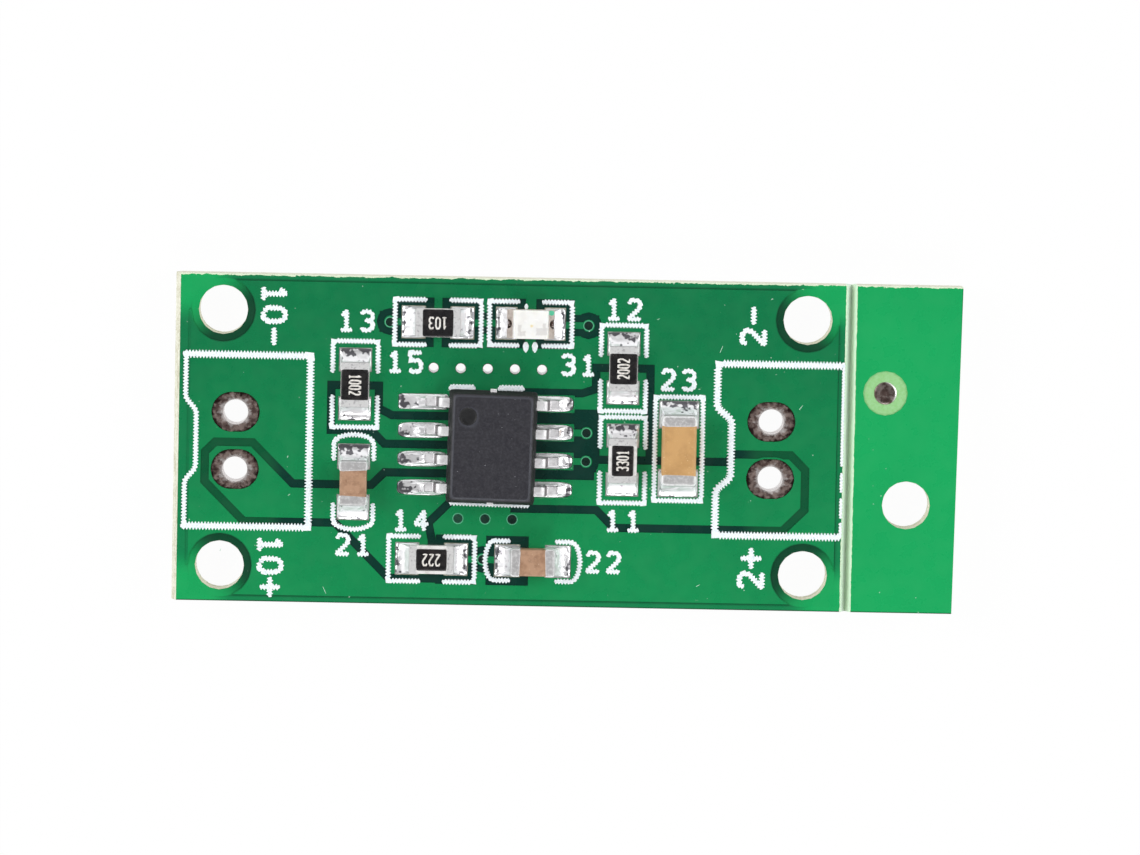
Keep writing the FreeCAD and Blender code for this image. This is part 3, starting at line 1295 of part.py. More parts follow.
def legend_faces():
    """Every frame and outline that is printed on the component side."""
    small = (size("frame_length"), size("frame_width"), size("frame_gap"))
    faces = []
    for name in RESISTORS:
        faces += frame_strips(name, *small)
    faces += frame_strips("led", size("led_frame_length"), size("led_frame_width"), small[2])
    faces += frame_strips("capacitor_3", size("large_frame_length"), size("large_frame_width"), 0)
    bowed = (size("bowed_frame_length"), size("bowed_frame_width"), size("bowed_frame_gap"))
    faces += rounded_frame("capacitor_1", *bowed) + rounded_frame("capacitor_2", *bowed)
    for side in (-1, 1):
        faces += terminal_outline(side)
    # Two short legs under the indicator, a line below the package and two above it
    line = size("legend_line")
    for end in (-1, 1):
        across = end * size("led_leg_pitch") / 2
        leg = [spot("led", across, size("led_leg_top")), spot("led", across, size("led_leg_foot"))]
        faces.append(strip(leg, line))
    edge = size("chip_length") / 2 + line / 2
    half = size("chip_width") / 2 - size("chip_line_inset")
    faces.append(strip([spot("chip", -half, -edge), spot("chip", half, -edge)], line))
    for name in ("chip_arc_left", "chip_arc_right"):
        low, high = size(name) - size("chip_arc_length") / 2, size(name) + size("chip_arc_length") / 2
        faces.append(strip([spot("chip", low, edge), spot("chip", high, edge)], line))
    return faces


def make_module():
    """Every sub-part of the module, from the laminate up."""
    make_laminate()
    for name, (across, up) in TERMINALS.items():
        make_terminal(name, across, up)
    make_vias("heat_vias", "dims.heat_via_drill", through=open_heat_vias(), tented=tented_heat_vias())
    make_vias("signal_vias", "dims.signal_via_drill", tented=signal_vias())
    make_fiducial()
    make_printed_layers()
    make_chip()
    make_chip_solder([make_lead(number) for number in LEAD_NUMBERS])
    for name in RESISTORS:
        make_resistor(name)
    for name, style in CAPACITORS.items():
        make_capacitor(name, style)
    make_led()
    for name in STYLES:
        make_end_solder(name)


def kept_parts():
    """The sub-parts that are written out: every body, layer and cut, less what only shapes another."""
    kinds = ("PartDesign::Body", "Part::Feature", "Part::Cut", "Part::Compound")
    return [item for item in doc.Objects if item.TypeId in kinds and not item.Label.startswith(SHAPERS)]


def check_document():
    """Stop if any object failed, or if a sub-part is empty or broken."""
    for item in doc.Objects:
        if "Invalid" in item.State or "Error" in item.State:
            raise RuntimeError(f"{item.Label} failed: {item.State}")
    for item in kept_parts():
        if item.Shape.isNull() or not item.Shape.isValid() or not item.Shape.Solids:
            raise RuntimeError(f"{item.Label} has no sound solid")


fill_sheet()
make_module()
doc.recompute()
check_document()
os.makedirs("parts", exist_ok=True)
for part in kept_parts():
    part.Shape.exportStep(f"parts/{part.Label}.step")
print(f"{len(kept_parts())} sub-parts written")
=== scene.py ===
"""Looks of a small battery charging board: finishes for the frame's nodes and finer pieces over them."""

import json
import logging
import math
from collections.abc import Iterator
from dataclasses import dataclass, field
from enum import Enum

import bpy
import numpy as np
from mathutils import Matrix, Vector

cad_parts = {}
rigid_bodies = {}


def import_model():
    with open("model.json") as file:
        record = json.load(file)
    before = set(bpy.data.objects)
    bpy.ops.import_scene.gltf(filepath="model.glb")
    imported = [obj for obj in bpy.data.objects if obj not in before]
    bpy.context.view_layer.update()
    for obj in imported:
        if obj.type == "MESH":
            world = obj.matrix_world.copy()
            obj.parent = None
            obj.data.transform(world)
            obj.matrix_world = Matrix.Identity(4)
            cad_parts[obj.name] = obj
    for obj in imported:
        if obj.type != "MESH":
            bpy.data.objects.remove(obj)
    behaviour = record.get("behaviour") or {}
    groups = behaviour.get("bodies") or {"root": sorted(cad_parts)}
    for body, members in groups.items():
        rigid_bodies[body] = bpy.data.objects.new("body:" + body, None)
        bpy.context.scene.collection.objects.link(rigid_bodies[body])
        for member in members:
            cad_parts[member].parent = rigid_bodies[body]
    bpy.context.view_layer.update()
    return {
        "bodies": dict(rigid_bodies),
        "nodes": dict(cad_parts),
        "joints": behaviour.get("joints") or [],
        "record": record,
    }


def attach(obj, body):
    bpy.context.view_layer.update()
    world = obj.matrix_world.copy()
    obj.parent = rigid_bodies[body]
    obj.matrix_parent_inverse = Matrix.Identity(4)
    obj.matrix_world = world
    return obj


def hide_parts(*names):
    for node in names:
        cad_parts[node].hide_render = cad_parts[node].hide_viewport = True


MM = 0.001
PHOTO_WIDTH = 1140

# Heights of the layers and the layout's origin along the board, in millimetres, as in the frame
LAND_TOP = 1.56
MASK_GAP = 1.57
SEAT = 1.60
LAYOUT_X = -2.365
SCORE_X = 12.485
RIGHT_EDGE = 17.415
HALF_WIDTH = 7.26

# Places on the layout, which is measured from the middle of the four mounting holes
MOUNT_X, MOUNT_Y = 12.93, 5.67
INPUT_X, BATTERY_X = -12.32, 11.4
TERMINAL_Y, TERMINAL_PITCH = -0.13, 2.54
FIDUCIAL = (16.43, 2.5)
LED_X, LED_Y = 0.66, 5.29

Colour = tuple[float, float, float]
Path = list[tuple[float, float]]
log = logging.getLogger("charger_board")


def shade(red: int, green: int, blue: int) -> Colour:
    """A screen colour of 0 to 255 as linear light."""
    parts = np.array([red, green, blue]) / 255.0
    return tuple(np.where(parts <= 0.04045, parts / 12.92, ((parts + 0.055) / 1.055) ** 2.4).tolist())


class Reading(Enum):
    """Which way a printed label is turned."""

    UPRIGHT = 0.0
    UPSIDE_DOWN = math.pi
    TOP_DOWN = -math.pi / 2
    BOTTOM_UP = math.pi / 2


class Ceramic(Enum):
    """The two fired bodies of the capacitors."""

    BROWN = "capacitor_brown"
    TAN = "capacitor_tan"


# Surfaces


@dataclass
class Surface:
    """A closed surface in millimetres: its points, its faces by their number of corners, and a tone."""

    points: np.ndarray
    faces: list[np.ndarray]
    tone: np.ndarray | None = None

    def volume(self) -> float:
        """The enclosed volume: a sixth of the sum of every triangle's triple product."""
        total = 0.0
        for group in self.faces:
            first = self.points[group[:, 0]]
            for corner in range(1, group.shape[1] - 1):
                second = self.points[group[:, corner]]
                third = self.points[group[:, corner + 1]]
                total += np.einsum("ij,ij->", first, np.cross(second, third)) / 6
        return total

    def outward(self) -> "Surface":
        """The same surface with its faces pointing outwards."""
        if self.volume() < 0:
            self.faces = [group[:, ::-1] for group in self.faces]
        return self

    def turned(self, angle: float, centre: tuple[float, float], lift: float = 0.0) -> "Surface":
        """The surface turned about the upright axis and moved to a place.

        Args:
            angle: turn in radians.
            centre: where the surface's own origin goes.
            lift: how far it goes up.

        Returns:
            A new surface.
        """
        moved = self.points + (0, 0, lift)
        moved[:, :2] = spun(moved[:, :2], angle, *centre)
        return Surface(moved, self.faces, self.tone)


def merged(surfaces: list[Surface]) -> Surface:
    """Several surfaces as one, each keeping its own points.

    Args:
        surfaces: the surfaces; one without a tone gets a tone of nothing.

    Returns:
        One surface with all their points and faces.
    """
    shift, points, faces, tones = 0, [], [], []
    for surface in surfaces:
        points.append(surface.points)
        faces += [group + shift for group in surface.faces]
        tones.append(surface.tone if surface.tone is not None else np.zeros(len(surface.points)))
        shift += len(surface.points)
    return Surface(np.concatenate(points), faces, np.concatenate(tones))


def skinned(rings: np.ndarray, looped: bool = False, tone: np.ndarray | None = None) -> Surface:
    """A surface over a grid of points: every ring is closed, and the rings follow each other.

    Ring i joins ring i + 1 with one quad per side. The ends are closed by one flat face each, or, where
    looped is set, the last ring joins the first.

    Args:
        rings: array of rings, points of a ring, and three coordinates.
        looped: whether the rings themselves close into a loop.
        tone: one number per point of the grid, for the finish to read.

    Returns:
        The closed surface, facing outwards.
    """
    count, sides = rings.shape[:2]
    index = np.arange(count * sides).reshape(count, sides)
    beside = np.roll(index, -1, axis=1)
    following = np.roll(index, -1, axis=0)
    corner = np.roll(beside, -1, axis=0)
    quads = np.stack([index, beside, corner, following], axis=-1)
    quads = quads if looped else quads[:-1]
    faces = [quads.reshape(-1, 4)]
    if not looped:
        faces += [index[:1, ::-1], index[-1:]]
    flat_tone = None if tone is None else tone.reshape(-1)
    return Surface(rings.reshape(-1, 3), faces, flat_tone).outward()


@dataclass(frozen=True)
class Outline:
    """A rounded rectangle in plan, as a superellipse: high powers have tight corners."""

    x: float
    y: float
    half_x: float
    half_y: float
    power: float = 8.0

    def rim(self, angle: np.ndarray, wobble: float = 0.0, phase: float = 0.0) -> np.ndarray:
        """Points of the outline at the given angles.

        A coordinate is the half size times the cosine or sine to the power 2 / n, sign kept. The wobble
        scales both with a sum of two sines of the angle.

        Args:
            angle: angles in radians.
            wobble: share by which the outline waves in and out.
            phase: shifts the waves.

        Returns:
            Array of points with two coordinates.
        """
        cosine, sine = np.cos(angle), np.sin(angle)
        wave = 1 + wobble * (np.sin(3 * angle + phase) + 0.7 * np.sin(7 * angle + 2.3 * phase))
        x = self.x + self.half_x * wave * np.sign(cosine) * np.abs(cosine) ** (2 / self.power)
        y = self.y + self.half_y * wave * np.sign(sine) * np.abs(sine) ** (2 / self.power)
        return np.stack([x, y], axis=-1)


def turns(count: int) -> np.ndarray:
    """Angles round a full turn that miss the axes by half a step."""
    return (np.arange(count) + 0.5) * 2 * np.pi / count


def spun(points: Path | np.ndarray, angle: float, x: float = 0.0, y: float = 0.0) -> np.ndarray:
    """Plan points turned about the origin by an angle in radians and moved to a place."""
    cosine, sine = math.cos(angle), math.sin(angle)
    return np.array(points, float) @ np.array([[cosine, sine], [-sine, cosine]]) + (x, y)


def between(first: np.ndarray, last: np.ndarray, share: np.ndarray) -> np.ndarray:
    """Plan points from one outline to another, mixed at the same angle by each share from 0 to 1."""
    return first[:, None] * (1 - share)[None, :, None] + last[:, None] * share[None, :, None]


def lifted(plan: np.ndarray, level: np.ndarray | float) -> np.ndarray:
    """Plan points with a height as their third coordinate, spread over the plan's rings and points."""
    return np.concatenate([plan, np.broadcast_to(level, plan.shape[:2])[..., None]], axis=-1)


def rounded_block(half: tuple[float, float, float], radius: float, centre: tuple[float, float, float],
                  count: int = 40) -> Surface:
    """A block with every edge rounded.

    A point is the direction on a ball, times the radius, moved out by what is left of each half size on
    the side that the direction points to.

    Args:
        half: half sizes along the three axes.
        radius: radius of the edges.
        centre: middle of the block.
        count: points round the block.

    Returns:
        The closed block.
    """
    rise = (np.arange(count // 2) + 0.5) * np.pi / (count // 2)
    rise = np.concatenate([[rise[0] / 4], rise, [np.pi - rise[0] / 4]])
    around = turns(count)
    direction = np.stack([
        np.sin(rise)[:, None] * np.cos(around)[None, :],
        np.sin(rise)[:, None] * np.sin(around)[None, :],
        np.repeat(np.cos(rise)[:, None], count, axis=1)], axis=-1)
    points = direction * radius + np.sign(direction) * (np.array(half) - radius) + np.array(centre)
    return skinned(points)


def domed_sheet(outline: Outline, height: float, foot: float, count: int = 72, crown: float = 8.0,
                wobble: float = 0.0, phase: float = 0.0) -> Surface:
    """A thin sheet with a rolled-over rim.

    A ring lies at a share of the outline, and its height is the root of 1 less that share to the power
    of the crown.

    Args:
        outline: the sheet's edge.
        height: thickness in the middle.
        foot: height of the underside.
        count: points round the edge.
        crown: the higher, the flatter the top.
        wobble: waviness of the edge.
        phase: shifts the waves.

    Returns:
        The closed sheet.
    """
    shares = np.array([1.0, 1.0, 0.99, 0.975, 0.95, 0.9, 0.82, 0.7, 0.5, 0.25])
    heights = height * np.sqrt(np.clip(1 - shares ** crown, 0, 1))
    rim = outline.rim(turns(count), wobble, phase) - np.array([outline.x, outline.y])
    plan = rim[None] * shares[:, None, None] + np.array([outline.x, outline.y])
    heights[1] += height * 0.12
    return skinned(lifted(plan, foot + heights[:, None]))


def fillet_ring(inner: Outline, outer: Outline, rise: tuple[float, float, float], foot: float,
                film: float = 0.05, count: int = 72, phase: float = 0.0) -> Surface:
    """Solder drawn up from the edge of a land to the part that stands on it.

    A point's plan is a mix of both outlines at the same angle, by a share from 0 at the part to 1 at the
    land's edge. Its height is the film, thinned to nothing at the edge, and the rise at that angle times
    the rest of the share to the power 2.3, which makes the hollow curve.

    Args:
        inner: outline hidden in the part.
        outer: edge of the land.
        rise: how high the solder climbs on the outer side, the flanks and the inner side.
        foot: height of the land.
        film: thickness of the solder on the open land.
        count: points round the land.
        phase: shifts the unevenness, so that no two are alike.

    Returns:
        The closed ring of solder, its tone high at the outer end of the land, where the solder finish paints
        a dark reflection.
    """
    angle = turns(count)
    share = np.linspace(0, 1, 13) ** 0.8
    out, flank, back = rise
    cosine = np.cos(angle)
    climb = flank + (out - flank) * np.clip(cosine, 0, 1) ** 1.5 + (back - flank) * np.clip(-cosine, 0, 1)
    climb = climb * (1 + 0.06 * np.sin(2 * angle + phase) + 0.05 * np.sin(5 * angle + 1.7 * phase))
    start, end = inner.rim(angle), outer.rim(angle, 0.012, phase)
    plan = between(start, end, share)
    ripple = 1 + 0.18 * np.sin(3 * angle[:, None] + phase + 4 * share[None]) * np.sin(np.pi * share[None])
    height = climb[:, None] * (1 - share)[None] ** 2.3 * ripple + film * np.sqrt(1 - share ** 5)[None]
    lumps = np.sin(4 * angle[:, None] + 2.1 * phase) * np.sin(9 * share[None] + phase)
    height = height + 0.22 * film * lumps * np.sin(np.pi * share[None])
    rings = np.concatenate([lifted(plan, foot + height), lifted(plan[:, :1], foot)], axis=1)
    reach = np.clip(cosine, 0, 1)[:, None] * share[None]
    tone = np.concatenate([2.2 * reach - 1.1, np.full((count, 1), -1.1)], axis=1)
    return skinned(rings, looped=True, tone=tone)


def rounded_path(points: Path, radius: float) -> Path:
    """A path with its blunt corners drawn round; right angles stay as they are.

    A blunt corner becomes five samples of the parabola that touches both runs at the radius from it: the
    start times the square of 1 less the share, twice the corner times both shares, and the end times the
    square of the share.

    Args:
        points: corners of the path.
        radius: how far from a corner the rounding starts, at most 0.45 of a run.

    Returns:
        The path with more corners.
    """
    path = [points[0]]
    share = np.linspace(0, 1, 5)[:, None]
    for before, corner, after in zip(points, points[1:], points[2:]):
        if np.dot(np.subtract(corner, before), np.subtract(after, corner)) < 0.01:
            path.append(corner)
            continue
        ends = []
        for other in (before, after):
            run = np.subtract(other, corner)
            length = np.linalg.norm(run)
            ends.append(corner + run / length * min(radius, 0.45 * length))
        curve = ends[0] * (1 - share) ** 2 + 2 * np.array(corner) * share * (1 - share) + ends[1] * share ** 2
        path += [tuple(point) for point in curve.tolist()]
    return path + [points[-1]]


def mask_lip(rounded: np.ndarray, square: np.ndarray) -> Surface:
    """The rim of mask between a cut-out's corners and the rounded opening that is left.

    A point's plan is a mix of both outlines at the same angle; the profile runs up beside the land, over
    the top and down into the mask.

    Args:
        rounded: points of the opening.
        square: the same number of points round the cut-out, or a little outside it.

    Returns:
        The closed rim.
    """
    share = np.array([0.0, 0.0, 0.12, 0.88, 1.0, 1.0])
    level = SEAT + np.array([LAND_TOP - SEAT + 0.002, -0.012, 0.001, 0.001, -0.002, -0.02])
    return skinned(lifted(between(rounded, square, share), level), looped=True)


def path_stations(points: np.ndarray, half: float, closed: bool,
                  step: float) -> tuple[np.ndarray, np.ndarray]:
    """Stations along a line of straight runs, with the sideways direction of each.

    A corner has one station whose direction is the mean of both runs' normals over one plus their dot
    product, which makes the mitre; no other station is nearer to it than the mitre reaches.

    Args:
        points: corners of the line.
        half: half of the widest line that will be drawn.
        closed: whether the line returns to its start.
        step: distance between stations.

    Returns:
        The stations and their directions.
    """
    following = np.roll(points, -1, axis=0)
    runs = following - points
    runs = runs if closed else runs[:-1]
    lengths = np.linalg.norm(runs, axis=1)
    along = runs / lengths[:, None]
    normals = np.stack([-along[:, 1], along[:, 0]], axis=-1)
    places, sides = [], []
    last = len(runs) - 1
    for number, (length, normal) in enumerate(zip(lengths, normals)):
        before, after = normals[number - 1], normals[(number + 1) % len(runs)]
        opening = closed or number > 0
        ending = closed or number < last
        if opening:
            places.append(points[number][None])
            sides.append(((before + normal) / (1 + before @ normal))[None])
        reach = [half * np.linalg.norm(other - normal) / np.linalg.norm(other + normal) if used else 0.0
                 for other, used in ((before, opening), (after, ending))]
        low = reach[0] + (step * 0.5 if opening else 0)
        high = length - reach[1] - (step * 0.5 if ending else 0)
        if high > low:
            marks = np.linspace(low, high, max(2, int(round((high - low) / step)) + 1))
            places.append(points[number] + along[number] * marks[:, None])
            sides.append(np.repeat(normal[None], len(marks), axis=0))
    return np.concatenate(places), np.concatenate(sides)


def ribbon(points: Path | np.ndarray, width: float, foot: float, height: float, closed: bool = False,
           bead: float = 0.0, pitch: float = 0.13) -> Surface:
    """A printed line: a low profile with bevelled edges carried along a path.

    Half the width is less half the bead times 1 plus the cosine of the way, which scallops both edges a
    third of a pitch apart, and falls off on a quarter circle at open ends.

    Args:
        points: corners of the path.
        width: width of the line.
        foot: height of its underside.
        height: thickness.
        closed: whether the path is a loop.
        bead: depth of the scallops.
        pitch: distance between scallops.

    Returns:
        The closed ribbon.
    """
    half = width / 2
    centre, side = path_stations(np.array(points, float), half, closed, pitch / 5 if bead else width)
    way = np.concatenate([[0], np.cumsum(np.linalg.norm(np.diff(centre, axis=0), axis=1))])
    reach = [half - bead / 2 * (1 + np.cos(2 * np.pi * (way / pitch + shift))) for shift in (0.0, 0.33)]
    reach = np.repeat(np.stack(reach, axis=-1), 3, axis=1)
    reach[np.linalg.norm(side, axis=1) > 1.01] = half - bead / 2
    if not closed:
        for distance in (way, way[-1] - way):
            fade = np.sqrt(np.clip(1 - (1 - np.clip(distance / (half * 0.8), 0, 1)) ** 2, 0.12, 1))
            reach = reach * fade[:, None]
    across = np.array([-1, -1, -0.82, 0.82, 1, 1])
    up = np.array([0, 0.6, 1, 1, 0.6, 0]) * height + foot
    return skinned(lifted(centre[:, None] + side[:, None] * (reach * across)[..., None], up), looped=closed)


def swept_bar(centre: np.ndarray, width: float, thickness: float, radius: float) -> Surface:
    """A flat bar with rounded edges carried along a bent path in the upright plane.

    The section is a rounded rectangle of twelve points; a point of the surface is the path's point,
    plus the section's height along the path's normal, with the section's width across. The tone falls
    with the square of how steeply the path goes, for painted shade on the steep part.

    Args:
        centre: path as an array of x and z.
        width: across the bar.
        thickness: of the bar.
        radius: of its edges.

    Returns:
        The closed bar, its width along y.
    """
    along = np.gradient(centre, axis=0)
    along = along / np.linalg.norm(along, axis=1)[:, None]
    normal = np.stack([-along[:, 1], along[:, 0]], axis=-1)
    quarter = np.array([0, np.pi / 4, np.pi / 2])
    angle = (np.arange(4)[:, None] * np.pi / 2 + quarter[None]).reshape(-1)
    side = np.repeat(np.array([[1, 1], [-1, 1], [-1, -1], [1, -1]]), 3, axis=0)
    section = side * (np.array([width, thickness]) / 2 - radius)
    section = section + radius * np.stack([np.cos(angle), np.sin(angle)], axis=-1)
    shrink = np.ones(len(centre))
    shrink[[0, -1]] = 0.9
    across = np.broadcast_to(section[None, :, 0], (len(centre), len(section))) * shrink[:, None]
    plan = centre[:, None] + normal[:, None] * (section[None, :, 1:2] * shrink[:, None, None])
    tone = np.repeat(0.2 - 1.4 * along[:, 1:2] ** 2, len(section), axis=1)
    return skinned(np.stack([plan[..., 0], across, plan[..., 1]], axis=-1), tone=tone)


def add_piece(name: str, surface: Surface, finish: "Finish", stands_for: tuple[str, ...] = (),
              sharp: float = 40.0) -> bpy.types.Object:
    """Put a surface into the scene as a piece that rides on the board.

    Args:
        name: name of the piece.
        surface: its surface in millimetres.
        finish: its finish, which also names its slot in the record.
        stands_for: frame nodes that it takes the place of.
        sharp: edges that turn by more than this many degrees stay sharp.

    Returns:
        The new object, with its place in its mesh.
    """
    mesh = bpy.data.meshes.new(name)
    loops = np.concatenate([group.reshape(-1) for group in surface.faces]).astype(np.int32)
    sizes = np.concatenate([np.full(len(group), group.shape[1]) for group in surface.faces])
    starts = np.concatenate([[0], np.cumsum(sizes)[:-1]]).astype(np.int32)
    mesh.vertices.add(len(surface.points))
    mesh.vertices.foreach_set("co", (surface.points * MM).astype(np.float32).reshape(-1))
    mesh.loops.add(len(loops))
    mesh.loops.foreach_set("vertex_index", loops)
    mesh.polygons.add(len(sizes))
    mesh.polygons.foreach_set("loop_start", starts)
    mesh.update(calc_edges=True)
    mesh.validate()
    if surface.tone is not None:
        tone = mesh.attributes.new("tone", "FLOAT", "POINT")
        tone.data.foreach_set("value", surface.tone.astype(np.float32))
    mesh.shade_smooth()
    mesh.set_sharp_from_angle(angle=math.radians(sharp))
    mesh.materials.append(finish.material())
    piece = bpy.data.objects.new(name, mesh)
    bpy.context.scene.collection.objects.link(piece)
    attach(piece, "root")
    if stands_for:
        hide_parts(*stands_for)
    log.info("%s: %d faces", name, len(mesh.polygons))
    return piece


# Finishes


@dataclass(frozen=True)
class Wire:
    """A value that flows through a material's nodes, with plain arithmetic for numbers."""

    desk: "ShaderDesk"
    source: object

    def math(self, operation: str, other: "Wire | float" = 0.0) -> "Wire":
        """One step of arithmetic."""
        node = self.desk.add("ShaderNodeMath", {0: self, 1: other}, operation=operation)
        return Wire(self.desk, node.outputs[0])

    def __add__(self, other: "Wire | float") -> "Wire":
        """The sum."""
        return self.math("ADD", other)

    def __sub__(self, other: "Wire | float") -> "Wire":
        """The difference."""
        return self.math("SUBTRACT", other)

    def __rsub__(self, other: float) -> "Wire":
        """A number less this value."""
        return Wire(self.desk, other).math("SUBTRACT", self)

    def __mul__(self, other: "Wire | float") -> "Wire":
        """The product."""
        return self.math("MULTIPLY", other)

    def __abs__(self) -> "Wire":
        """The value without its sign."""
        return self.math("ABSOLUTE")

    def __gt__(self, other: "Wire | float") -> "Wire":
        """One where this value is greater, otherwise nothing."""
        return self.math("GREATER_THAN", other)

    def __lt__(self, other: "Wire | float") -> "Wire":
        """One where this value is less, otherwise nothing."""
        return self.math("LESS_THAN", other)

    def larger(self, other: "Wire | float") -> "Wire":
        """The larger of two values."""
        return self.math("MAXIMUM", other)

    def smaller(self, other: "Wire | float") -> "Wire":
        """The smaller of two values."""
        return self.math("MINIMUM", other)

    def step(self, low: float, high: float, first: float = 0.0, last: float = 1.0) -> "Wire":
        """A smooth step from first to last as this value goes from low to high."""
        inputs = {"Value": self, "From Min": low, "From Max": high, "To Min": first, "To Max": last}
        node = self.desk.add("ShaderNodeMapRange", inputs, interpolation_type="SMOOTHSTEP")
        return Wire(self.desk, node.outputs[0])

    def spread(self, first: float = 0.0, last: float = 1.0) -> "Wire":
        """The middle values of a noise, drawn out from first to last."""
        return self.step(0.3, 0.7, first, last)


class ShaderDesk:
    """The nodes of one material or world, laid out by short calls that take and give wires."""

    def __init__(self, result: bpy.types.Material | bpy.types.World,
                 output: str = "ShaderNodeOutputMaterial") -> None:
        """Start an empty material or world with its output and coordinates."""
        self.result = result
        self.result.use_nodes = True
        self.tree = self.result.node_tree
        self.tree.nodes.clear()
        self.output = self.add(output)
        self.coordinates = self.add("ShaderNodeTexCoord")

    def add(self, kind: str, inputs: dict[int | str, object] | None = None,
            **settings: object) -> bpy.types.Node:
        """Add a node, set its properties and feed its inputs.

        Args:
            kind: the node's type.
            inputs: what to feed, by the inputs' names or numbers.
            settings: properties of the node.

        Returns:
            The node.
        """
        node = self.tree.nodes.new(kind)
        for key, value in settings.items():
            setattr(node, key, value)
        for key, value in (inputs or {}).items():
            self.feed(node, key, value)
        return node

    def feed(self, node: bpy.types.Node, key: int | str, value: object) -> None:
        """Give an input a number, a colour, what a wire carries or a node's first output.

        Args:
            node: whose input it is.
            key: the input's name or number.
            value: what to give it.
        """
        socket = node.inputs[key]
        if isinstance(value, Wire):
            value = value.source
        if isinstance(value, bpy.types.Node):
            value = value.outputs[0]
        if isinstance(value, bpy.types.NodeSocket):
            self.tree.links.new(value, socket)
        elif isinstance(value, tuple) and len(socket.default_value) == 4:
            socket.default_value = (*value, 1.0)
        else:
            socket.default_value = value

    def axes(self, kind: str = "Object", unit: float = MM) -> tuple[Wire, ...]:
        """The three coordinates of the point, counted in a unit of so many metres."""
        split = self.add("ShaderNodeSeparateXYZ", {0: self.coordinates.outputs[kind]})
        return tuple(Wire(self, output) * (1 / unit) for output in split.outputs)

    def tone(self) -> Wire:
        """The tone that the surface carries."""
        return Wire(self, self.add("ShaderNodeAttribute", attribute_name="tone").outputs["Fac"])

    def distance(self, along: Wire, across: Wire) -> Wire:
        """How far a point lies from another, by the root of the sum of both squares."""
        return (along * along + across * across).math("SQRT")

    def noise(self, size: float, detail: float = 2.0, roughness: float = 0.5, distortion: float = 0.0,
              stretch: tuple[float, float, float] = (1.0, 1.0, 1.0), w: float = 0.0) -> Wire:
        """Smooth noise from 0 to 1.

        Args:
            size: size of its patches in millimetres.
            detail: number of finer layers.
            roughness: weight of the finer layers.
            distortion: how far the patches are pulled about.
            stretch: lengthens the patches along each axis.
            w: picks another pattern.

        Returns:
            The noise's value.
        """
        mapping = self.add("ShaderNodeMapping", {
            "Vector": self.coordinates.outputs["Object"], "Location": (w, w * 0.7, w * 0.3),
            "Scale": tuple(1 / part for part in stretch)})
        node = self.add("ShaderNodeTexNoise", {
            "Vector": mapping, "Scale": 1 / (size * MM), "Detail": detail, "Roughness": roughness,
            "Distortion": distortion})
        return Wire(self, node.outputs[0])

    def blend(self, share: Wire | float, first: Wire | Colour, second: Wire | Colour) -> Wire:
        """A colour between two, by a share from 0 to 1."""
        node = self.add("ShaderNodeMix", data_type="RGBA")
        for key, value in ((0, share), (6, first), (7, second)):
            self.feed(node, key, value)
        return Wire(self, node.outputs[2])

    def relief(self, height: Wire, depth: float, under: Wire | None = None) -> Wire:
        """A normal pushed about by a height from 0 to 1, of a depth in micrometres."""
        node = self.add("ShaderNodeBump", {"Strength": 1.0, "Distance": depth * 1e-6, "Height": height})
        if under is not None:
            self.feed(node, "Normal", under)
        return Wire(self, node.outputs[0])

    def mixed(self, share: Wire | float, first: bpy.types.Node, second: bpy.types.Node) -> bpy.types.Node:
        """A shader between two, by a share from 0 to 1."""
        return self.add("ShaderNodeMixShader", {0: share, 1: first, 2: second})

    def camera_ray(self) -> Wire:
        """One where the camera looks straight at the surface, otherwise nothing."""
        return Wire(self, self.add("ShaderNodeLightPath").outputs["Is Camera Ray"])

    def finish(self, **sockets: object) -> bpy.types.Material:
        """Close the material with one principled surface."""
        inputs = {key.replace("_", " "): value for key, value in sockets.items()}
        self.feed(self.output, 0, self.add("ShaderNodeBsdfPrincipled", inputs))
        return self.result


@dataclass(frozen=True)
class Finish:
    """A finish of the object, named after its slot in the record."""

    slot: str

    def material(self) -> bpy.types.Material:
        """The finish's material, made once."""
        made = bpy.data.materials.get(self.name())
        return made if made else self.make(ShaderDesk(bpy.data.materials.new(self.name())))

    def name(self) -> str:
        """Name of the finish's material."""
        return f"finish_{self.slot}"

    def make(self, desk: ShaderDesk) -> bpy.types.Material:
        """Put the material together on an empty desk."""
        raise NotImplementedError


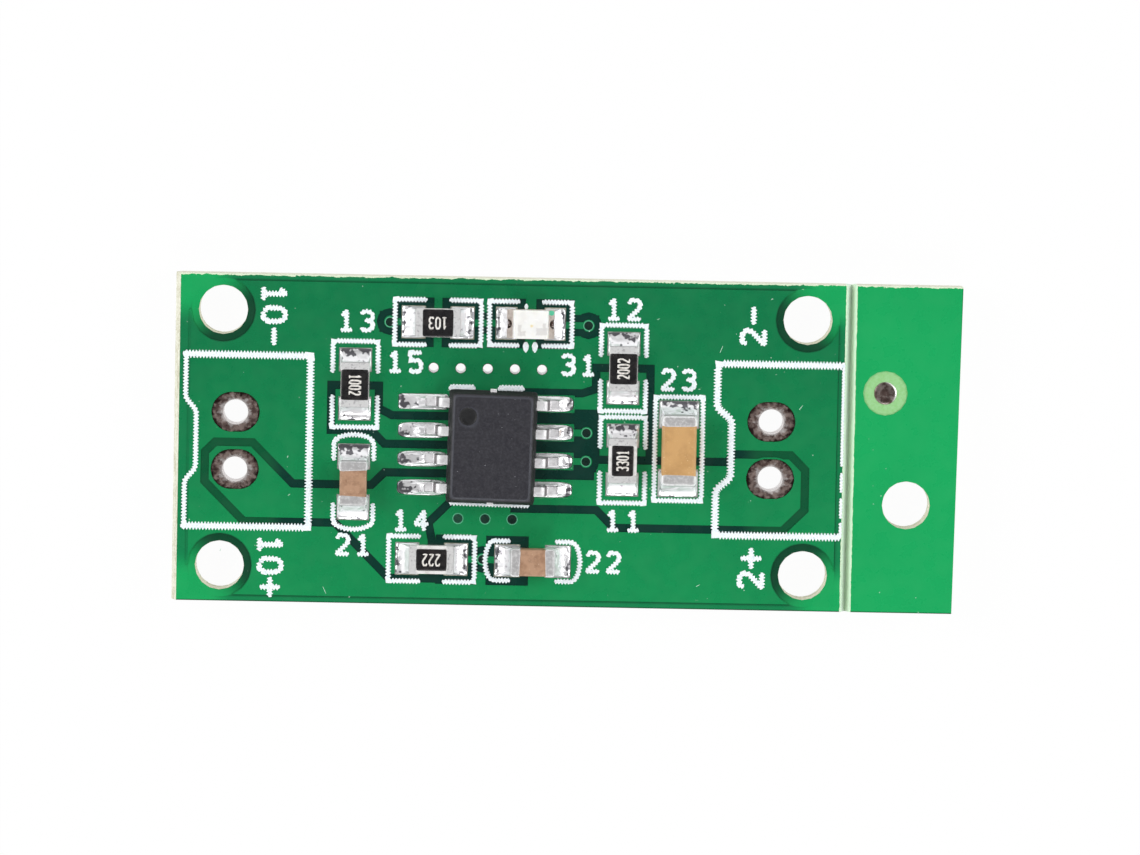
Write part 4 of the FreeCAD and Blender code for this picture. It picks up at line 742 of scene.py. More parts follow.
@dataclass(frozen=True)
class Mottled(Finish):
    """A metal, ceramic, resin or ink whose colour, gloss and grain vary from place to place."""

    colour: Colour = (0.5, 0.5, 0.5)
    stain: Colour = (0.4, 0.4, 0.4)
    stain_size: float = 0.5
    stain_share: tuple[float, float] = (0.4, 0.7)
    gloss: tuple[float, float] = (0.3, 0.5)
    gloss_size: float = 0.3
    grain: float = 0.08
    grain_depth: float = 3.0
    swell: float = 0.6
    swell_depth: float = 0.0
    metal: float = 0.0
    specks: Colour | None = None
    speck_size: float = 0.1
    speck_share: tuple[float, float] = (0.72, 0.76)
    low_tone: Colour | None = None
    high_tone: Colour | None = None
    tone_spread: float = 0.0
    tone_grain: float = 0.1
    tone_detail: float = 3.0
    variant: str = ""

    def name(self) -> str:
        """Name of the finish's material, with its variant."""
        return f"finish_{self.slot}{self.variant}"

    def make(self, desk: ShaderDesk) -> bpy.types.Material:
        """Colour from patches and specks, roughness from a second noise, bump from swell and grain."""
        patches = desk.noise(self.stain_size, 4.0, 0.6).step(*self.stain_share)
        colour = desk.blend(patches, self.colour, self.stain)
        if self.specks is not None:
            dots = desk.noise(self.speck_size, 1.0, w=0.37).step(*self.speck_share)
            colour = desk.blend(dots, colour, self.specks)
        tone = desk.tone()
        if self.tone_spread:
            ragged = desk.noise(self.tone_grain, self.tone_detail, 0.6, w=0.77) - 0.5
            tone = tone + ragged * self.tone_spread
        # low_tone and high_tone paint colours where a piece's tone asks: painted highlights, painted shade
        # and painted dark reflections, and on the wire-hole lands also a darker outer edge
        if self.low_tone is not None:
            colour = desk.blend(tone.step(-0.9, -0.2, 1.0, 0.0), colour, self.low_tone)
        if self.high_tone is not None:
            colour = desk.blend(tone.step(0.2, 0.9), colour, self.high_tone)
        rough = desk.noise(self.gloss_size, 3.0, w=0.11).spread(*self.gloss)
        normal = desk.relief(desk.noise(self.grain, 3.0, 0.6, w=0.23), self.grain_depth)
        if self.swell_depth:
            normal = desk.relief(desk.noise(self.swell, 1.0, w=0.53), self.swell_depth, normal)
        return desk.finish(Base_Color=colour, Metallic=self.metal, Roughness=rough, Normal=normal)


@dataclass(frozen=True)
class MaskFinish(Finish):
    """Green solder mask: mid green over copper, dark in the gaps, and painted bright where no copper lies
    under it, as by light coming up through the board.
    """

    over_copper: Colour = shade(8, 111, 67)
    in_gap: Colour = shade(0, 53, 43)
    in_outer_gap: Colour = shade(5, 84, 50)
    margin: Colour = shade(16, 122, 74)
    # bare: mask where no copper lies under it, its brightness painted light as if coming up through the board
    bare: Colour = shade(22, 169, 93)
    # ring: a painted shadow crescent on the inner side of the clear rings round the mounting holes
    ring: Colour = shade(6, 68, 42)
    edge: Colour = shade(222, 236, 206)
    # rim: painted shade along the rounded low and right edges of the mask
    rim: Colour = shade(8, 60, 38)
    dust: Colour = shade(214, 232, 220)
    copper_end: float = 14.34
    copper_side: float = 6.966
    ring_edge: tuple[float, float] = (1.38, 1.47)
    island_radius: float = 1.33
    island_straight: float = 0.175
    score_gap: float = 0.19

    def make(self, desk: ShaderDesk) -> bpy.types.Material:
        """Regions from the point's height and place, with painted glow and shade at the corners and the
        board's far edges, chipped edges, specks and a slight orange peel.
        """
        x, y, z = desk.axes()
        colour = self.corners(desk, self.regions(desk, x, y, z), x, y)
        # past the score line the mask is painted bright, as by light coming up through the board
        backlit_rail = desk.blend(desk.noise(6.0, 2.0, w=0.5).spread(0.0, 0.12), self.bare, self.over_copper)
        colour = desk.blend(x > SCORE_X, colour, backlit_rail)
        # painted shade where the mask rolls over the low and right edges of the board
        low_rim_shade = y.step(-HALF_WIDTH + 0.015, -HALF_WIDTH + 0.07, 0.85, 0.0)
        right_rim_shade = x.step(RIGHT_EDGE - 0.07, RIGHT_EDGE - 0.015, 0.0, 0.5)
        colour = desk.blend(low_rim_shade.larger(right_rim_shade), colour, self.rim)
        specks = desk.noise(0.16, 1.0, w=0.9).step(0.8, 0.83, 0.0, 0.75)
        colour = desk.blend(specks, colour, self.dust)
        chipped = self.chips(desk, x, y)
        colour = desk.blend(chipped, colour, self.edge)
        rough = desk.noise(0.8, 3.0, w=0.4).spread(0.24, 0.36) + chipped * 0.4
        normal = desk.relief(desk.noise(0.35, 2.0, 0.5, w=0.6), 1.6)
        return desk.finish(Base_Color=colour, Roughness=rough, Normal=normal, IOR=1.5)

    def regions(self, desk: ShaderDesk, x: Wire, y: Wire, z: Wire) -> Wire:
        """Colour of the mask over copper, in its gaps and in the margin round the copper, with the pour
        painted brighter towards the front edge and a painted shade line along the copper's edge in the
        margin.

        Args:
            desk: the material's nodes.
            x: place along the board in millimetres.
            y: place across the board.
            z: height.

        Returns:
            The colour.
        """
        from_middle, up = abs(x - LAYOUT_X), abs(y)
        cloud = desk.noise(9.0, 2.0, 0.5, w=0.7).spread(0.0, 0.1)
        # painted light: the pour brightens towards the front edge of the board
        painted_front_light = y.step(-HALF_WIDTH, HALF_WIDTH, 0.34, 0.02)
        weave = desk.noise(0.55, 2.0, 0.5, stretch=(1.0, 1.0, 4.0), w=0.2).spread(0.0, 0.05)
        pour = desk.blend(cloud + painted_front_light + weave, self.over_copper, self.bare)
        below = z < SEAT / 2
        raised = below.larger(z.step(MASK_GAP + 0.004, SEAT - 0.004))
        gap = desk.blend(from_middle.step(10.0, 11.0), self.in_gap, self.in_outer_gap)
        colour = desk.blend(raised, gap, pour)
        # painted shade: a dark line just outside the copper's edge, where the mask steps down into the margin
        past_end, past_side = from_middle - self.copper_end, up - self.copper_side
        end_step_shade = past_end.step(0.02, 0.14, 0.3, 0.0)
        side_step_shade = past_side.step(0.02, 0.14, 0.85, 0.0)
        line = desk.blend(past_side > 0.0, end_step_shade, side_step_shade)
        shaded_margin = desk.blend(line, desk.blend(0.3, self.margin, pour), self.in_outer_gap)
        colour = desk.blend(past_end.larger(past_side) > 0.0, colour, shaded_margin)
        above = y - (TERMINAL_Y - TERMINAL_PITCH / 2)
        for hole_x in (INPUT_X, BATTERY_X):
            aside = (abs(x - (LAYOUT_X + hole_x)) - self.island_straight).larger(0.0)
            island = below * (desk.distance(aside, above) < self.island_radius)
            colour = desk.blend(island, colour, self.in_outer_gap)
        return colour

    def corners(self, desk: ShaderDesk, colour: Wire, x: Wire, y: Wire) -> Wire:
        """The copper-free corners and rings, painted dark as shade towards the board's middle and painted
        bright as glow away from it.

        Args:
            desk: the material's nodes.
            colour: what they are laid over.
            x: place along the board in millimetres.
            y: place across the board.

        Returns:
            The colour with corners and rings.
        """
        aside, above = abs(x - LAYOUT_X) - MOUNT_X, abs(y) - MOUNT_Y
        # painted light: glow rising towards the board's outer corners, and painted shadow in the rings
        # elsewhere
        outwards = (aside + above).step(-0.9, 1.7, 0.0, 0.9)
        ring = desk.distance(aside, above).step(*self.ring_edge, 1.0, 0.0)
        corner = aside.smaller(above).step(-0.7, 0.5)
        return desk.blend(corner.larger(ring) * outwards, desk.blend(ring, colour, self.ring), self.bare)

    def chips(self, desk: ShaderDesk, x: Wire, y: Wire) -> Wire:
        """Where the mask has broken away: the far edge of the board and both sides of the score line.

        Args:
            desk: the material's nodes.
            x: place along the board in millimetres.
            y: place across the board.

        Returns:
            One where the mask is gone, otherwise nothing.
        """
        ragged = desk.noise(0.3, 4.0, 0.75, stretch=(1.6, 1.0, 1.0)) * 0.3
        edge = y + ragged > HALF_WIDTH + 0.1
        return edge.larger(abs(x - SCORE_X) - ragged * 0.4 < self.score_gap)


@dataclass(frozen=True)
class LaminateFinish(Finish):
    """Glass cloth in pale resin, with fibre layers on its cut walls and pale greens in the score line, whose
    left face carries a painted bluish reflection.
    """

    resin: Colour = shade(232, 231, 214)
    fibre: Colour = shade(196, 193, 166)
    # the groove's left face: a painted bluish reflection
    score_left_reflection: Colour = shade(224, 238, 228)
    score_right: Colour = shade(212, 238, 208)
    score_rim: Colour = shade(214, 246, 218)
    window: Colour = shade(140, 200, 124)
    score_half: float = 0.235
    window_radius: float = 1.1

    def make(self, desk: ShaderDesk) -> bpy.types.Material:
        """Layers from a noise drawn out along the board, a painted bluish reflection on the score line's left
        face, and greens where light comes through the mask.
        """
        x, y, z = desk.axes()
        layers = desk.noise(0.14, 4.0, 0.7, 0.4, stretch=(5.0, 5.0, 1.0))
        tufts = desk.noise(0.12, 4.0, 0.75, w=0.3)
        cloth = layers * 0.55 + tufts * 0.45
        colour = desk.blend(cloth.step(0.42, 0.62), self.resin, self.fibre)
        aside = x - SCORE_X
        wander = desk.noise(0.4, 3.0, 0.6, w=0.8) * 0.12
        groove = desk.blend((aside + (wander - 0.06)).step(-0.03, 0.03), self.score_left_reflection, self.score_right)
        groove = desk.blend((abs(aside) + wander * 0.3).step(0.16, 0.2), groove, self.score_rim)
        groove = desk.blend(tufts.spread(0.0, 0.25), groove, self.fibre)
        colour = desk.blend(abs(aside) < self.score_half, colour, groove)
        around = desk.distance(x - (FIDUCIAL[0] + LAYOUT_X), y - FIDUCIAL[1])
        seen = (around < self.window_radius) * (z > SEAT - 0.1)
        tint = desk.blend(tufts.spread(0.0, 0.2), self.window, self.score_rim)
        colour = desk.blend(seen, colour, tint)
        normal = desk.relief(cloth * (1.0 - seen), 22.0)
        return desk.finish(Base_Color=colour, Roughness=0.72, Normal=normal)


@dataclass(frozen=True)
class TentFinish(Finish):
    """Mask that has sunk a little into a covered hole: a light ring round a middle painted dark as the shade
    of the hole beneath, by the tone.
    """

    ring: Colour = shade(96, 184, 142)
    # middle: painted shade of the hole under the sunken mask
    middle: Colour = shade(8, 34, 28)

    def name(self) -> str:
        """Name of the finish's material."""
        return "finish_covered_via"

    def make(self, desk: ShaderDesk) -> bpy.types.Material:
        """Colour from the tone that the surface carries."""
        colour = desk.blend(desk.tone().step(0.1, 1.05), self.ring, self.middle)
        normal = desk.relief(desk.noise(0.12, 2.0), 2.0)
        rough = desk.noise(0.2, 2.0).spread(0.22, 0.38)
        return desk.finish(Base_Color=colour, Roughness=rough, Normal=normal, IOR=1.5)


@dataclass(frozen=True)
class LensFinish(Finish):
    """Milky resin over the lead shapes and the die, which show through as faint patches.

    Each patch is its middle along and across the lens from the lens's middle, and its two half sizes.
    """

    milk: Colour = shade(250, 249, 245)
    shadow: Colour = shade(222, 219, 216)
    warm: Colour = shade(240, 222, 172)
    patches: tuple[tuple[float, float, float, float], ...] = (
        (-0.5, -0.26, 0.07, 0.24), (-0.36, -0.4, 0.12, 0.1), (0.48, -0.3, 0.24, 0.15),
        (0.6, -0.1, 0.06, 0.16))
    die: tuple[float, float] = (0.03, -0.06)

    def make(self, desk: ShaderDesk) -> bpy.types.Material:
        """Patches from boxes about the lens's middle with softened, wandering edges."""
        x, y, _ = desk.axes()
        wander = (desk.noise(0.14, 3.0) - 0.5) * 0.12
        along, across = x - (LED_X + LAYOUT_X) + wander, y - LED_Y + wander
        cloud = desk.noise(0.5, 2.0, w=0.3).step(0.4, 0.7, 0.0, 0.3)
        colour = desk.blend(cloud, self.milk, self.shadow)
        for middle_x, middle_y, half_x, half_y in self.patches:
            reach = (abs(along - middle_x) - half_x).larger(abs(across - middle_y) - half_y)
            colour = desk.blend(reach.step(-0.03, 0.04, 0.85, 0.0), colour, self.shadow)
        away = desk.distance(along - self.die[0], across - self.die[1])
        colour = desk.blend(away.step(0.03, 0.09, 0.9, 0.0), colour, self.warm)
        normal = desk.relief(desk.noise(0.5, 2.0, w=0.2), 10.0)
        rough = desk.noise(0.3, 2.0, w=0.6).spread(0.14, 0.28)
        return desk.finish(Base_Color=colour, Roughness=rough, Normal=normal, Subsurface_Weight=0.3,
                           Subsurface_Scale=0.2 * MM, Subsurface_Radius=(1.0, 0.9, 0.7))


MASK = MaskFinish("solder_mask")
LAMINATE = LaminateFinish("laminate")
TENT = TentFinish("solder_mask")
COPPER = Mottled("copper", colour=(0.66, 0.36, 0.2), stain=(0.42, 0.22, 0.13), metal=1.0, gloss=(0.3, 0.5),
                 variant="_bare")
LAND_TIN = Mottled("copper", colour=(0.78, 0.77, 0.75), stain=(0.5, 0.48, 0.45), stain_size=0.2, metal=0.6,
                   gloss=(0.3, 0.5), variant="_tinned")
INK = Mottled("legend_ink", colour=shade(246, 252, 255), stain=shade(214, 232, 238), stain_size=0.1,
              stain_share=(0.5, 0.72), gloss=(0.5, 0.7), grain=0.07, grain_depth=6.0)
# low_tone is a painted highlight: the bright crescent on the fiducial's rim and the bright rims of the via
# bores
DARK_TIN = Mottled("tin_plating", colour=(0.3, 0.25, 0.23), stain=(0.12, 0.08, 0.07), stain_size=0.25,
                   stain_share=(0.4, 0.6), gloss=(0.24, 0.5), grain=0.08, grain_depth=5.0, swell=0.5,
                   swell_depth=9.0, metal=0.8, low_tone=(0.86, 0.84, 0.83), variant="_dark")
# low_tone is a painted highlight on the bevel round the bore; high_tone darkens the land towards its outer
# edge
LAND_STAIN_AND_GLINT = Mottled("tin_plating", colour=(0.37, 0.28, 0.25), stain=(0.14, 0.09, 0.08), stain_size=0.22,
                     stain_share=(0.42, 0.6), gloss=(0.22, 0.42), grain=0.06, grain_depth=6.0, swell=0.3,
                     swell_depth=10.0, metal=0.7, low_tone=(0.74, 0.68, 0.66), high_tone=(0.03, 0.015, 0.013),
                     tone_spread=2.2, tone_grain=0.22, variant="_land")
# low_tone is painted shade on the steep, bent parts of the leads
LEAD_METAL = Mottled("lead_metal", colour=(0.99, 0.975, 0.985), stain=(0.78, 0.76, 0.77), stain_size=0.2,
                     stain_share=(0.45, 0.7), gloss=(0.35, 0.55), grain=0.09, grain_depth=5.0, swell=0.3,
                     swell_depth=12.0, metal=0.25, low_tone=(0.2, 0.18, 0.19))
# the dark stain patches and high_tone are painted dark reflections in the shiny solder; high_tone also
# carries painted shade on the side of a joint away from the lamps
SOLDER = Mottled("solder", colour=(1.0, 0.985, 1.0), stain=(0.3, 0.27, 0.3), stain_size=0.34,
                 stain_share=(0.6, 0.72), gloss=(0.1, 0.22), grain=0.2, grain_depth=4.0, swell=0.38,
                 swell_depth=52.0, metal=0.5, high_tone=(0.15, 0.145, 0.16), tone_spread=5.6,
                 tone_grain=0.24, tone_detail=1.0)
# low_tone is painted shade: a contact-shadow line at the outer ends and the darker flat tops of the capacitor
# ends; high_tone is a painted highlight on their sides and rounded rims
CAP_TIN = Mottled("end_cap_tin", colour=(0.7, 0.695, 0.69), stain=(0.42, 0.41, 0.42), stain_size=0.13,
                  stain_share=(0.52, 0.7), gloss=(0.45, 0.7), grain=0.07, grain_depth=8.0, swell=0.3,
                  swell_depth=14.0, metal=0.4, low_tone=(0.46, 0.45, 0.45), high_tone=(0.95, 0.94, 0.95),
                  tone_spread=1.8, tone_grain=0.12)
# low_tone is painted shade on the sides and in the dimple; high_tone is a painted highlight on the edges, the
# parting line and the dimple's rim
MOULDING = Mottled("moulding_compound", colour=shade(36, 35, 42), stain=shade(50, 49, 56), stain_size=0.12,
                   stain_share=(0.4, 0.7), gloss=(0.46, 0.64), grain=0.05, grain_depth=7.0,
                   specks=shade(190, 190, 196), speck_size=0.06, speck_share=(0.79, 0.82),
                   low_tone=shade(9, 9, 12), high_tone=shade(60, 61, 69))
ALUMINA = Mottled("resistor_ceramic", colour=shade(236, 234, 232), stain=shade(212, 208, 204),
                  stain_size=0.3, gloss=(0.5, 0.7), grain=0.06, grain_depth=3.0)
COAT = Mottled("resistor_coat", colour=shade(28, 27, 29), stain=shade(46, 42, 42), stain_size=0.5,
               gloss=(0.2, 0.36), grain=0.1, grain_depth=2.0, swell=0.6, swell_depth=6.0,
               specks=shade(96, 88, 84), speck_size=0.06, speck_share=(0.76, 0.82))
BROWN = Mottled("capacitor_brown", colour=shade(181, 143, 115), stain=shade(156, 119, 93), stain_size=0.3,
                gloss=(0.4, 0.6), grain=0.06, grain_depth=4.0, specks=shade(214, 190, 170), speck_size=0.06)
TAN = Mottled("capacitor_tan", colour=shade(206, 161, 105), stain=shade(190, 146, 92), stain_size=0.9,
              gloss=(0.4, 0.6), grain=0.06, grain_depth=4.0, specks=shade(232, 204, 162), speck_size=0.06)
LED_BASE = Mottled("led_base", colour=shade(216, 200, 188), stain=shade(196, 180, 168), stain_size=0.3,
                   gloss=(0.45, 0.65), grain=0.07, grain_depth=4.0)
LED_CAP = Mottled("lead_metal", colour=shade(216, 204, 196), stain=shade(190, 176, 166), stain_size=0.2,
                  gloss=(0.4, 0.6), grain=0.07, grain_depth=4.0, metal=0.3, variant="_led")
# painted shade in the hollow solder at the indicator's half-round ends, its bright patches painted highlights
SHADED_LED_WELL = Mottled("solder", colour=(0.2, 0.15, 0.14), stain=(0.9, 0.88, 0.9), stain_size=0.16,
                   stain_share=(0.48, 0.56), gloss=(0.15, 0.35), metal=0.7, variant="_well")
LED_DIE = Mottled("led_die", colour=shade(220, 214, 150), stain=shade(190, 180, 110), gloss=(0.2, 0.3))
LED_MARK = Mottled("led_mark", colour=shade(106, 216, 176), stain=shade(84, 196, 152), stain_size=0.1)
CODE_INK = Mottled("legend_ink", colour=shade(236, 232, 226), stain=shade(196, 190, 182), stain_size=0.12,
                   gloss=(0.45, 0.6), grain=0.05, grain_depth=2.0, variant="_code")
SCRATCH = Mottled("solder_mask", colour=shade(196, 226, 206), stain=shade(120, 184, 150), stain_size=0.2,
                  gloss=(0.5, 0.7), variant="_scratch")
LENS = LensFinish("led_lens")


def dress(frame: dict, finish: Finish, *nodes: str) -> None:
    """Give frame nodes a finish.

    Args:
        finish: the finish.
        nodes: names of the nodes.
    """
    for node in nodes:
        materials = frame["nodes"][node].data.materials
        if not materials:
            materials.append(None)
        for slot in frame["nodes"][node].material_slots:
            slot.material = finish.material()
    log.info("%s dresses %s", finish.slot, ", ".join(nodes))


def soften(frame: dict, node: str, radius: float) -> None:
    """Round the sharp edges of a frame node: its loose triangles are joined, then bevelled.

    Args:
        node: name of the node.
        radius: width of the rounding in millimetres.
    """
    part = frame["nodes"][node]
    weld = part.modifiers.new("join", "WELD")
    weld.merge_threshold = 1e-7
    bevel = part.modifiers.new("round", "BEVEL")
    bevel.width = radius * MM
    bevel.segments = 3
    bevel.limit_method = "ANGLE"
    bevel.angle_limit = math.radians(35)
    bevel.use_clamp_overlap = True
    bevel.harden_normals = True


# Board


def stadium(length: float, width: float, angle: np.ndarray) -> np.ndarray:
    """Points of a rectangle with half-round ends, at the given angles of its ends' circles.

    Args:
        length: of the whole, along the board.
        width: across; the same as the length for a circle.
        angle: angles in radians.

    Returns:
        Array of points with two coordinates, about its middle.
    """
    straight = (length - width) / 2
    return np.stack([np.cos(angle) * width / 2 + np.sign(np.cos(angle)) * straight,
                     np.sin(angle) * width / 2], axis=-1)


def plated_hole(length: float, width: float, bore: float, crown: float) -> Surface:
    """A plated hole with a domed land on both faces.

    The profile is a closed loop of a share from 0 at the bore to 1 at the land's edge and a height;
    a point's plan is a mix of the bore's circle and the land's oval by that share. The tone is low
    at the bore, where the finishes paint a highlight, high at the edge, and varies with a sum of sines
    of the angle, which makes streaks.

    Args:
        length: land along the board.
        width: land across the board.
        bore: diameter of the hole.
        crown: how far the middle of the land stands above its edge.

    Returns:
        The surface about its own origin.
    """
    top, under, lip = LAND_TOP + 0.005, 0.035, 0.09
    share = np.array([0, 0, 0.02, 0.08, 0.2, 0.45, 0.7, 0.88, 0.97, 1.0, 1.0, 0.97, 0.88, 0.7, 0.45, 0.2,
                      0.08, 0.02, 0])
    high = top + crown * np.sin(np.pi * np.clip(share[:10] * 0.9 + 0.1, 0, 1)) ** 0.6
    high[:2] = top - lip, top - lip * 0.2
    low = under - crown * np.sin(np.pi * np.clip(share[10:] * 0.9 + 0.1, 0, 1)) ** 0.6
    low[-2:] = under + lip * 0.2, under + lip
    level = np.concatenate([high, low])
    angle = turns(72)
    circle, oval = stadium(bore, bore, angle), stadium(length, width, angle)
    streaks = np.sin(5 * angle + 1) + np.sin(11 * angle) + np.sin(17 * angle + 2) + np.sin(29 * angle)
    bands = np.interp(share, [0, 0.08, 0.3, 0.6, 0.82, 1], [-1.0, -0.75, -0.15, 0.1, 0.62, 1.1])
    tone = bands[None] + 0.17 * streaks[:, None] * np.sin(np.pi * share)[None]
    return skinned(lifted(between(circle, oval, share), level), looped=True, tone=tone)


@dataclass
class Board:
    """The scored laminate with its copper, mask, plated holes and fiducial dot, in millimetres."""

    bore: float = 1.1
    land_length: float = 2.18
    land_width: float = 1.83
    land_crown: float = 0.022
    via_drill: float = 0.46
    via_bore: float = 0.42
    via_pitch: float = 1.2
    via_x: float = -1.2
    barrel_ends: tuple[float, float] = (0.08, 1.52)
    row_skin: float = 0.255
    signal_skin: float = 0.24
    open_row: float = 3.26
    covered_row: float = -3.41
    covered_signal: tuple[tuple[float, float], ...] = (
        (-5.56, 5.25), (3.22, 5.25), (3.22, 0.487), (3.22, -0.783), (-1.28, -5.21))
    fiducial_radius: float = 0.5
    fiducial_foot: float = 1.532
    fiducial_height: float = 0.058

    def build(self, frame: dict) -> None:
        """Dress the flat layers and add the plated holes."""
        dress(frame, LAMINATE, "board_laminate")
        dress(frame, LAND_TIN, "top_copper")
        dress(frame, COPPER, "bottom_copper", "signal_vias")
        dress(frame, MASK, "top_solder_mask", "bottom_solder_mask")
        dress(frame, DARK_TIN, "fiducial_dot")
        self.terminals()
        self.open_vias()
        self.covered_vias()
        self.dot()
        self.scratches()

    def terminals(self) -> None:
        """The four wire holes."""
        lips = []
        around = turns(96)
        opening = stadium(self.land_length - 0.05, self.land_width - 0.07, around)
        edge = stadium(self.land_length + 0.1, self.land_width + 0.1, around)
        for side, x in (("input", INPUT_X), ("battery", BATTERY_X)):
            for pole, way, angle in (("negative", 0.5, 0.0), ("positive", -0.5, math.pi)):
                place = (x + LAYOUT_X, TERMINAL_Y + way * TERMINAL_PITCH)
                hole = plated_hole(self.land_length, self.land_width, self.bore, self.land_crown)
                add_piece(f"{side}_land_{pole}", hole.turned(angle, place), LAND_STAIN_AND_GLINT,
                          (f"{side}_hole_{pole}",))
                lips.append(mask_lip(opening, edge).turned(0, place))
        add_piece("wire_hole_lips", merged(lips), MASK)

    def open_vias(self) -> None:
        """The row of larger vias: five open ones and the barrels of the three covered ones."""
        holes = []
        for number in range(-2, 3):
            land = self.via_drill + 0.02
            hole = plated_hole(land, land, self.via_bore, 0.012)
            holes.append(hole.turned(0, (LAYOUT_X + self.via_x + number * self.via_pitch, self.open_row)))
        for number in range(-1, 2):
            hole = plated_hole(self.via_drill, self.via_drill, self.via_bore, 0.0)
            hole.points[:, 2] = np.clip(hole.points[:, 2], *self.barrel_ends)
            holes.append(hole.turned(0, (LAYOUT_X + self.via_x + number * self.via_pitch, self.covered_row)))
        add_piece("heat_via_barrels", merged(holes), DARK_TIN, ("heat_vias",))

    def covered_vias(self) -> None:
        """The sunken skins of mask over the covered vias, as low discs whose tone darkens inwards, for
        painted shade of the hole beneath.
        """
        skins = []
        places = [(self.via_x + number * self.via_pitch, self.covered_row, self.row_skin,
                   0.93 + 0.07 * number) for number in range(-1, 2)]
        places += [(x, y, self.signal_skin, 1.0) for x, y in self.covered_signal]
        share = np.array([1.0, 0.96, 0.9, 0.82, 0.74, 0.66, 0.4, 0.1])
        level = SEAT + 0.012 * np.sin(np.pi * (1 - share)) * (share > 0.45) + 0.002
        level[0] = SEAT - 0.01
        disc = stadium(2.0, 2.0, turns(36))[None] * share[:, None, None]
        for x, y, radius, depth in places:
            plan = disc * radius + (x + LAYOUT_X, y)
            tone = np.broadcast_to(np.clip((0.9 - share) / 0.12, 0, 1)[:, None] * depth, plan.shape[:2])
            skins.append(skinned(lifted(plan, level[:, None]), tone=tone))
        add_piece("covered_via_skins", merged(skins), TENT)

    def dot(self) -> None:
        """The fiducial dot, slightly domed, with a painted highlight crescent on one side of its rim."""
        x, y = FIDUCIAL[0] + LAYOUT_X, FIDUCIAL[1]
        circle = Outline(x, y, self.fiducial_radius, self.fiducial_radius, 2.0)
        sheet = domed_sheet(circle, self.fiducial_height, self.fiducial_foot, crown=5.0)
        # painted highlight: the rim's side facing mostly along +x is lit bright
        away = (sheet.points[:, :2] - (x, y)) / self.fiducial_radius
        towards = np.clip(away @ (0.94, 0.34), 0, 1)
        sheet.tone = -5.0 * np.clip(np.linalg.norm(away, axis=1) - 0.72, 0, 1) * towards
        add_piece("fiducial_bead", sheet, DARK_TIN, ("fiducial_dot",))

    def scratches(self) -> None:
        """Hair-fine scratches in the mask."""
        width, height = 0.028, 0.005
        lines = []
        for x, y, angle, length in (
                (-8.25, -6.72, 2.0, 0.34), (9.12, 4.32, 1.2, 0.32), (12.7, 1.8, 0.9, 0.26),
                (-9.9, -2.5, 0.6, 0.14), (2.4, -4.6, 2.4, 0.16), (6.3, 5.6, 0.4, 0.12),
                (-12.9, -5.0, 1.4, 0.12), (4.9, 1.0, 2.2, 0.1), (8.3, -6.2, 0.5, 0.2)):
            run = spun([(-length / 2, 0), (length / 2, 0)], angle, x + LAYOUT_X, y)
            lines.append(ribbon(run, width, SEAT - 0.002, height))
        add_piece("mask_scratches", merged(lines), SCRATCH)


# Legend


# Centre lines of the characters, one character being 0.62 wide and 1 high
STROKES: dict[str, tuple[Path, ...]] = {
    "0": ([(0.16, 0), (0.46, 0), (0.62, 0.22), (0.62, 0.78), (0.46, 1), (0.16, 1), (0, 0.78), (0, 0.22),
           (0.16, 0)],),
    "1": ([(0.08, 0.74), (0.37, 1.04)], [(0.33, 1.08), (0.33, -0.06)], [(0.02, 0), (0.64, 0)]),
    "2": ([(0, 0.8), (0.14, 1), (0.48, 1), (0.62, 0.82), (0.62, 0.6), (-0.04, -0.04)],
          [(-0.04, 0), (0.68, 0)]),
    "3": ([(0, 0.86), (0.14, 1), (0.48, 1), (0.62, 0.84), (0.62, 0.66), (0.46, 0.52), (0.2, 0.52)],
          [(0.4, 0.54), (0.62, 0.36), (0.62, 0.16), (0.48, 0), (0.14, 0), (0, 0.14)]),
    "4": ([(0.47, -0.06), (0.47, 1.06)], [(0.5, 1.02), (-0.02, 0.26)], [(-0.04, 0.3), (0.72, 0.3)]),
    "5": ([(0.64, 1), (0.04, 1), (0.04, 0.56), (0.44, 0.6), (0.62, 0.42), (0.62, 0.18), (0.46, 0),
           (0.14, 0), (0, 0.14)],),
    "-": ([(-0.08, 0.5), (0.74, 0.5)],),
    "+": ([(-0.14, 0.5), (0.8, 0.5)], [(0.33, 0.03), (0.33, 0.97)]),
}
LETTER_WIDTH = 0.62


